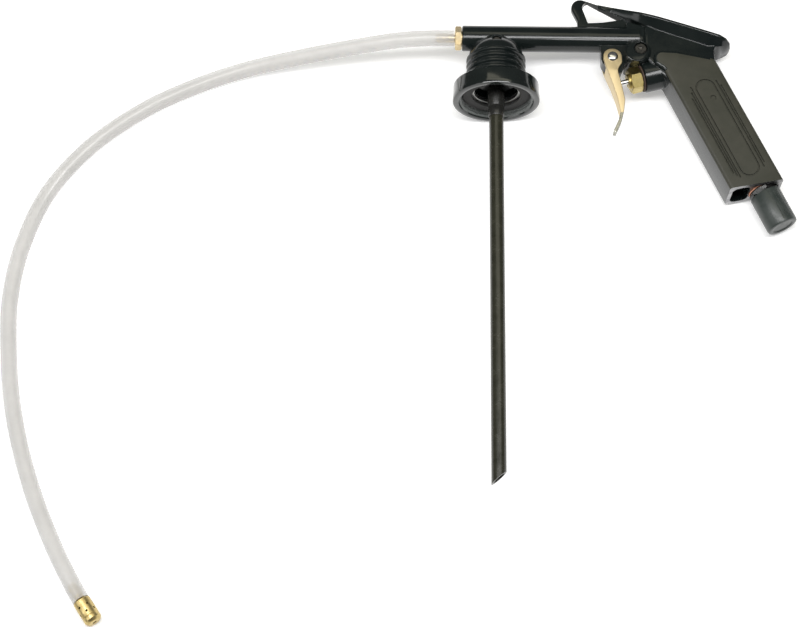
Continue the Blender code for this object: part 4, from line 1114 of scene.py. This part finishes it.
# --------------------------------------------------------------------------- trigger
@dataclass(frozen=True)
class Trigger:
    """The pressed trigger, its pin and the clip that keeps the pin."""

    half: float = 6.1
    sheet: float = 1.2
    narrow_from: float = -22.0
    narrowing: float = 0.56
    worn_from: float = -47.0

    def build(self) -> None:
        """Make the blade, the pin and the clip."""
        self._blade()
        pin = turned("pivot_pin", [
            (0.0, 7.6), (1.2, 7.55), (2.0, 7.35), (2.6, 7.0), (2.9, 6.6), (2.9, 6.4), (2.0, 6.4),
            (2.0, -6.5),
            (1.4, -6.5), (1.4, -7.5), (2.0, -7.5), (2.0, -8.0), (1.8, -8.2), (0.0, -8.2)], PIVOT, 48,
            ring=False)
        settled(pin, "gun", STEEL, "pin_steel", "trigger_pin")
        clip = turned("pivot_clip", [(3.4, -6.7), (3.4, -7.3), (1.7, -7.3), (1.7, -6.7)], PIVOT, 40)
        gap = block("clip_gap", (-1.1, 0.0, -8.0), (1.1, 5.0, -6.0), PIVOT.matrix())
        combined(clip, [gap], "DIFFERENCE")
        settled(clip, "gun", SPRING_STEEL, "clip_steel", "pin_clip")

    def _blade(self) -> None:
        """Make the channel-shaped blade with its round head and its curled tip."""
        side = rounded([
            (59.3, -8.7, 4.7), (69.7, -8.7, 5.0), (69.7, -17.2, 4.0), (67.0, -21.6, 5),
            (69.0, -29.5, 10),
            (70.9, -39.5, 8), (70.1, -46.0, 4), (68.8, -51.8, 5), (65.7, -58.6, 0.7),
            (63.9, -58.2, 0.5),
            (67.2, -51.0, 5), (68.3, -46.6, 5), (66.6, -38.5, 14), (63.9, -29.0, 14), (60.6, -20.0, 8),
            (59.3, -15.0, 3)], 5.0)
        inside = rounded([
            (55.0, -5.0, 0), (75.0, -5.0, 0), (75.0, -45.5, 0), (69.6, -45.8, 0), (67.9, -38.5, 12),
            (65.2, -29.0, 12), (62.0, -20.2, 0), (55.0, -20.2, 0)], 5.0)
        blade = bevelled(slab("trigger_blade", side, -self.half, self.half), 0.4, 3)
        hollow = slab("blade_hollow", inside, self.sheet - self.half, self.half - self.sheet)
        combined(blade, [hollow, drill("blade_bore", 2.3, -9.0, 9.0, PIVOT, 32)], "DIFFERENCE")
        self._narrow(blade)
        settled(blade, "trigger", YELLOW_ZINC, "trigger_yellow_zinc", "trigger")
        blade.data.materials.append(WORN_STEEL.material())
        worn = (PLACEMENT @ Vector((0.0, 0.0, self.worn_from * MM))).y
        for face in blade.data.polygons:
            if face.center.y < worn:
                face.material_index = 1

    def _narrow(self, blade: bpy.types.Object) -> None:
        """Cut edges across the blade and narrow it towards its tip.

        Args:
            blade: The blade, in the gun's frame.
        """
        pick(blade)
        bpy.ops.object.mode_set(mode="EDIT")
        for height in (self.narrow_from, self.worn_from):
            bpy.ops.mesh.select_all(action="SELECT")
            bpy.ops.mesh.bisect(plane_co=(0.0, 0.0, height * MM), plane_no=ALONG_Z)
        bpy.ops.object.mode_set(mode="OBJECT")
        lift = Matrix.Translation(ALONG_Z * self.narrow_from * MM)
        blade.data.transform(lift.inverted())
        heights = [vertex.co.z for vertex in blade.data.vertices]
        taper = blade.modifiers.new("taper", "SIMPLE_DEFORM")
        taper.deform_method = "TAPER"
        taper.deform_axis = "Z"
        taper.factor = self.narrowing
        taper.limits = (0.0, -min(heights) / (max(heights) - min(heights)))
        taper.lock_x = True
        bpy.ops.object.modifier_apply(modifier=taper.name)
        blade.data.transform(lift)


# --------------------------------------------------------------------------- valve
@dataclass(frozen=True)
class Valve:
    """The visible pieces on the valve's axis."""

    face: float = -11.9
    stem_tip: float = -27.2

    def build(self) -> None:
        """Make the gland nut, its washer and the stem."""
        nut = hexagon("packing_nut", 12.6, -18.1, self.face, VALVE, 0.7)
        nose = turned("nut_nose",
                      [(0.0, -17.0), (4.2, -17.0), (4.2, -18.9), (3.8, -19.3), (0.0, -19.3)],
                      VALVE, 48, ring=False)
        shank = drill("nut_shank", 4.8, -13.0, -3.5, VALVE, 48)
        combined(nut, [nose, shank], "UNION")
        combined(nut, [drill("nut_bore", 1.9, -22.0, -2.0, VALVE, 32)], "DIFFERENCE")
        settled(nut, "gun", BRASS_GLAND, "gland_brass", "gland_nut")
        washer = turned("nut_washer",
                        [(7.4, -11.6), (7.6, -11.4), (7.6, -11.0), (7.4, -10.8), (5.1, -10.8),
                                       (5.1, -11.6)], VALVE, 56)
        settled(washer, "gun", FIBRE, "gland_fibre", "gland_washer")
        stem = turned("push_rod", [
            (0.0, 12.0), (1.2, 12.0), (1.2, 9.6), (3.6, 9.6), (3.6, 7.6), (1.5, 7.6),
            (1.5, self.stem_tip + 0.9),
            (1.3, self.stem_tip + 0.35), (0.8, self.stem_tip), (0.0, self.stem_tip)], VALVE, 40,
            ring=False)
        settled(stem, "valve", STEEL, "stem_steel", "valve_stem")


# --------------------------------------------------------------------------- plugs
@dataclass(frozen=True)
class Plug:
    """A screw plug with a small socket, in a cross drilling."""

    name: str
    axis: Axis
    radius: float
    outer: float
    slot: str
    node: str

    def build(self) -> None:
        """Make the plug with its socket and its chamfered edge."""
        plug = turned(self.name, [(0.0, self.outer), (self.radius - 0.4, self.outer),
                                  (self.radius, self.outer - 0.4), (self.radius, 4.6), (0.0, 4.6)],
                      self.axis, 40, ring=False)
        socket = turned(self.name + "_socket",
                        [(0.0, self.outer + 1.0), (self.radius * 0.45, self.outer + 1.0),
                                                (self.radius * 0.45, self.outer - 0.9),
                                                (0.0, self.outer - 1.4)],
                        self.axis, 6, ring=False)
        combined(plug, [socket], "DIFFERENCE")
        settled(plug, "gun", BLACKED, self.slot, self.node)


# --------------------------------------------------------------------------- air inlet
@dataclass(frozen=True)
class AirInlet:
    """The threaded nipple in the grip's end, its washer and the dust cap."""

    hex_top: float = 79.6
    hex_end: float = 82.2
    cap_radius: float = 8.5
    cap_top: float = 82.4
    cap_end: float = 103.4

    def build(self) -> None:
        """Make the nipple, the washer and the cap."""
        nipple = turned("air_nipple",
                        [(0.0, 99.0), (6.0, 99.0), (6.5, 98.4), *self._thread(), (6.5, 81.7),
                                       (6.3, 80.1), (6.3, 66.0), (0.0, 66.0)], INLET, 48, ring=False)
        combined(nipple, [hexagon("nipple_hex", 14.2, self.hex_top, self.hex_end, INLET)], "UNION")
        bore = turned("nipple_bore", [(0.0, 100.0), (4.2, 100.0), (4.2, 72.0), (2.6, 72.0), (2.6, 65.0),
                                      (0.0, 65.0)], INLET, 40, ring=False)
        combined(nipple, [bore], "DIFFERENCE")
        settled(nipple, "gun", NICKEL, "adapter_nickel", "inlet_adapter")
        washer = turned("nipple_washer", [(7.7, 78.3), (7.9, 78.5), (7.9, 79.1), (7.7, 79.3),
                                          (6.7, 79.3), (6.7, 78.3)], INLET, 56)
        settled(washer, "gun", COPPER, "washer_copper", "inlet_washer")
        self._cap()

    def _thread(self) -> list[Point2]:
        """Return the profile of the thread under the cap, from its end up."""
        points: list[Point2] = []
        for turn in range(10):
            low = 97.8 - turn * 1.34
            points += [(6.5, low), (6.0, low - 0.67)]
        return points

    def _cap(self) -> None:
        """Make the dust cap with its lengthwise lines and the ring on its end."""
        radius, end, top = self.cap_radius, self.cap_end, self.cap_top
        cap = turned("end_cap", [
            (0.0, end - 0.5), (5.6, end - 0.5), (5.9, end - 0.1), (6.3, end), (radius - 0.9, end),
            (radius - 0.3, end - 0.3), (radius, end - 1.1), (radius, top + 0.5),
            (radius - 0.15, top + 0.15), (radius - 0.5, top), (6.9, top), (6.9, end - 1.9),
            (0.0, end - 1.9)], INLET, 96, ring=False)
        lines = []
        for index in range(9):
            turn = Matrix.Rotation(math.radians(150 + 15 * index), 4, "Z")
            lines.append(block(f"cap_line_{index}", (radius - 0.3, -0.22, top + 2.0),
                               (radius + 1.0, 0.22, end - 2.4), INLET.matrix() @ turn))
        combined(cap, lines, "DIFFERENCE")
        settled(cap, "cap", CAP_PLASTIC, "cap_grey", "dust_cap")


# --------------------------------------------------------------------------- inner pieces
@dataclass(frozen=True)
class InnerPieces:
    """The pieces whose CAD shape stays, each with its finish."""

    def build(self) -> None:
        """Dress each piece that stays."""
        for node, finish in (("air_jet", INNER_BRASS), ("jet_o_ring", NITRILE),
                             ("connector_o_ring", NITRILE),
                             ("stem_packing", PTFE), ("valve_seat", BRASS_GLAND),
                             ("poppet_seal", NITRILE),
                             ("valve_spring", SPRING_STEEL), ("inlet_filter", BRONZE)):
            thing = frame["nodes"][node]
            for slot in thing.material_slots:
                slot.material = finish.material()
            LOG.info("%s keeps its shape", node)


def main() -> None:
    """Build the studio and the gun."""
    logging.basicConfig(level=logging.INFO, format="%(message)s")
    Studio().build()
    Probe().build()
    Casting().build()
    CanJoint().build()
    Suction().build()
    Trigger().build()
    Valve().build()
    Plug("front_screw", FRONT_DRILLING, 2.3, 11.2, "front_plug_steel", "front_passage_plug").build()
    Plug("rear_screw", REAR_DRILLING, 3.3, 9.2, "rear_plug_steel", "rear_passage_plug").build()
    AirInlet().build()
    InnerPieces().build()
    bpy.ops.object.select_all(action="DESELECT")


if __name__ == "__main__":
    main()
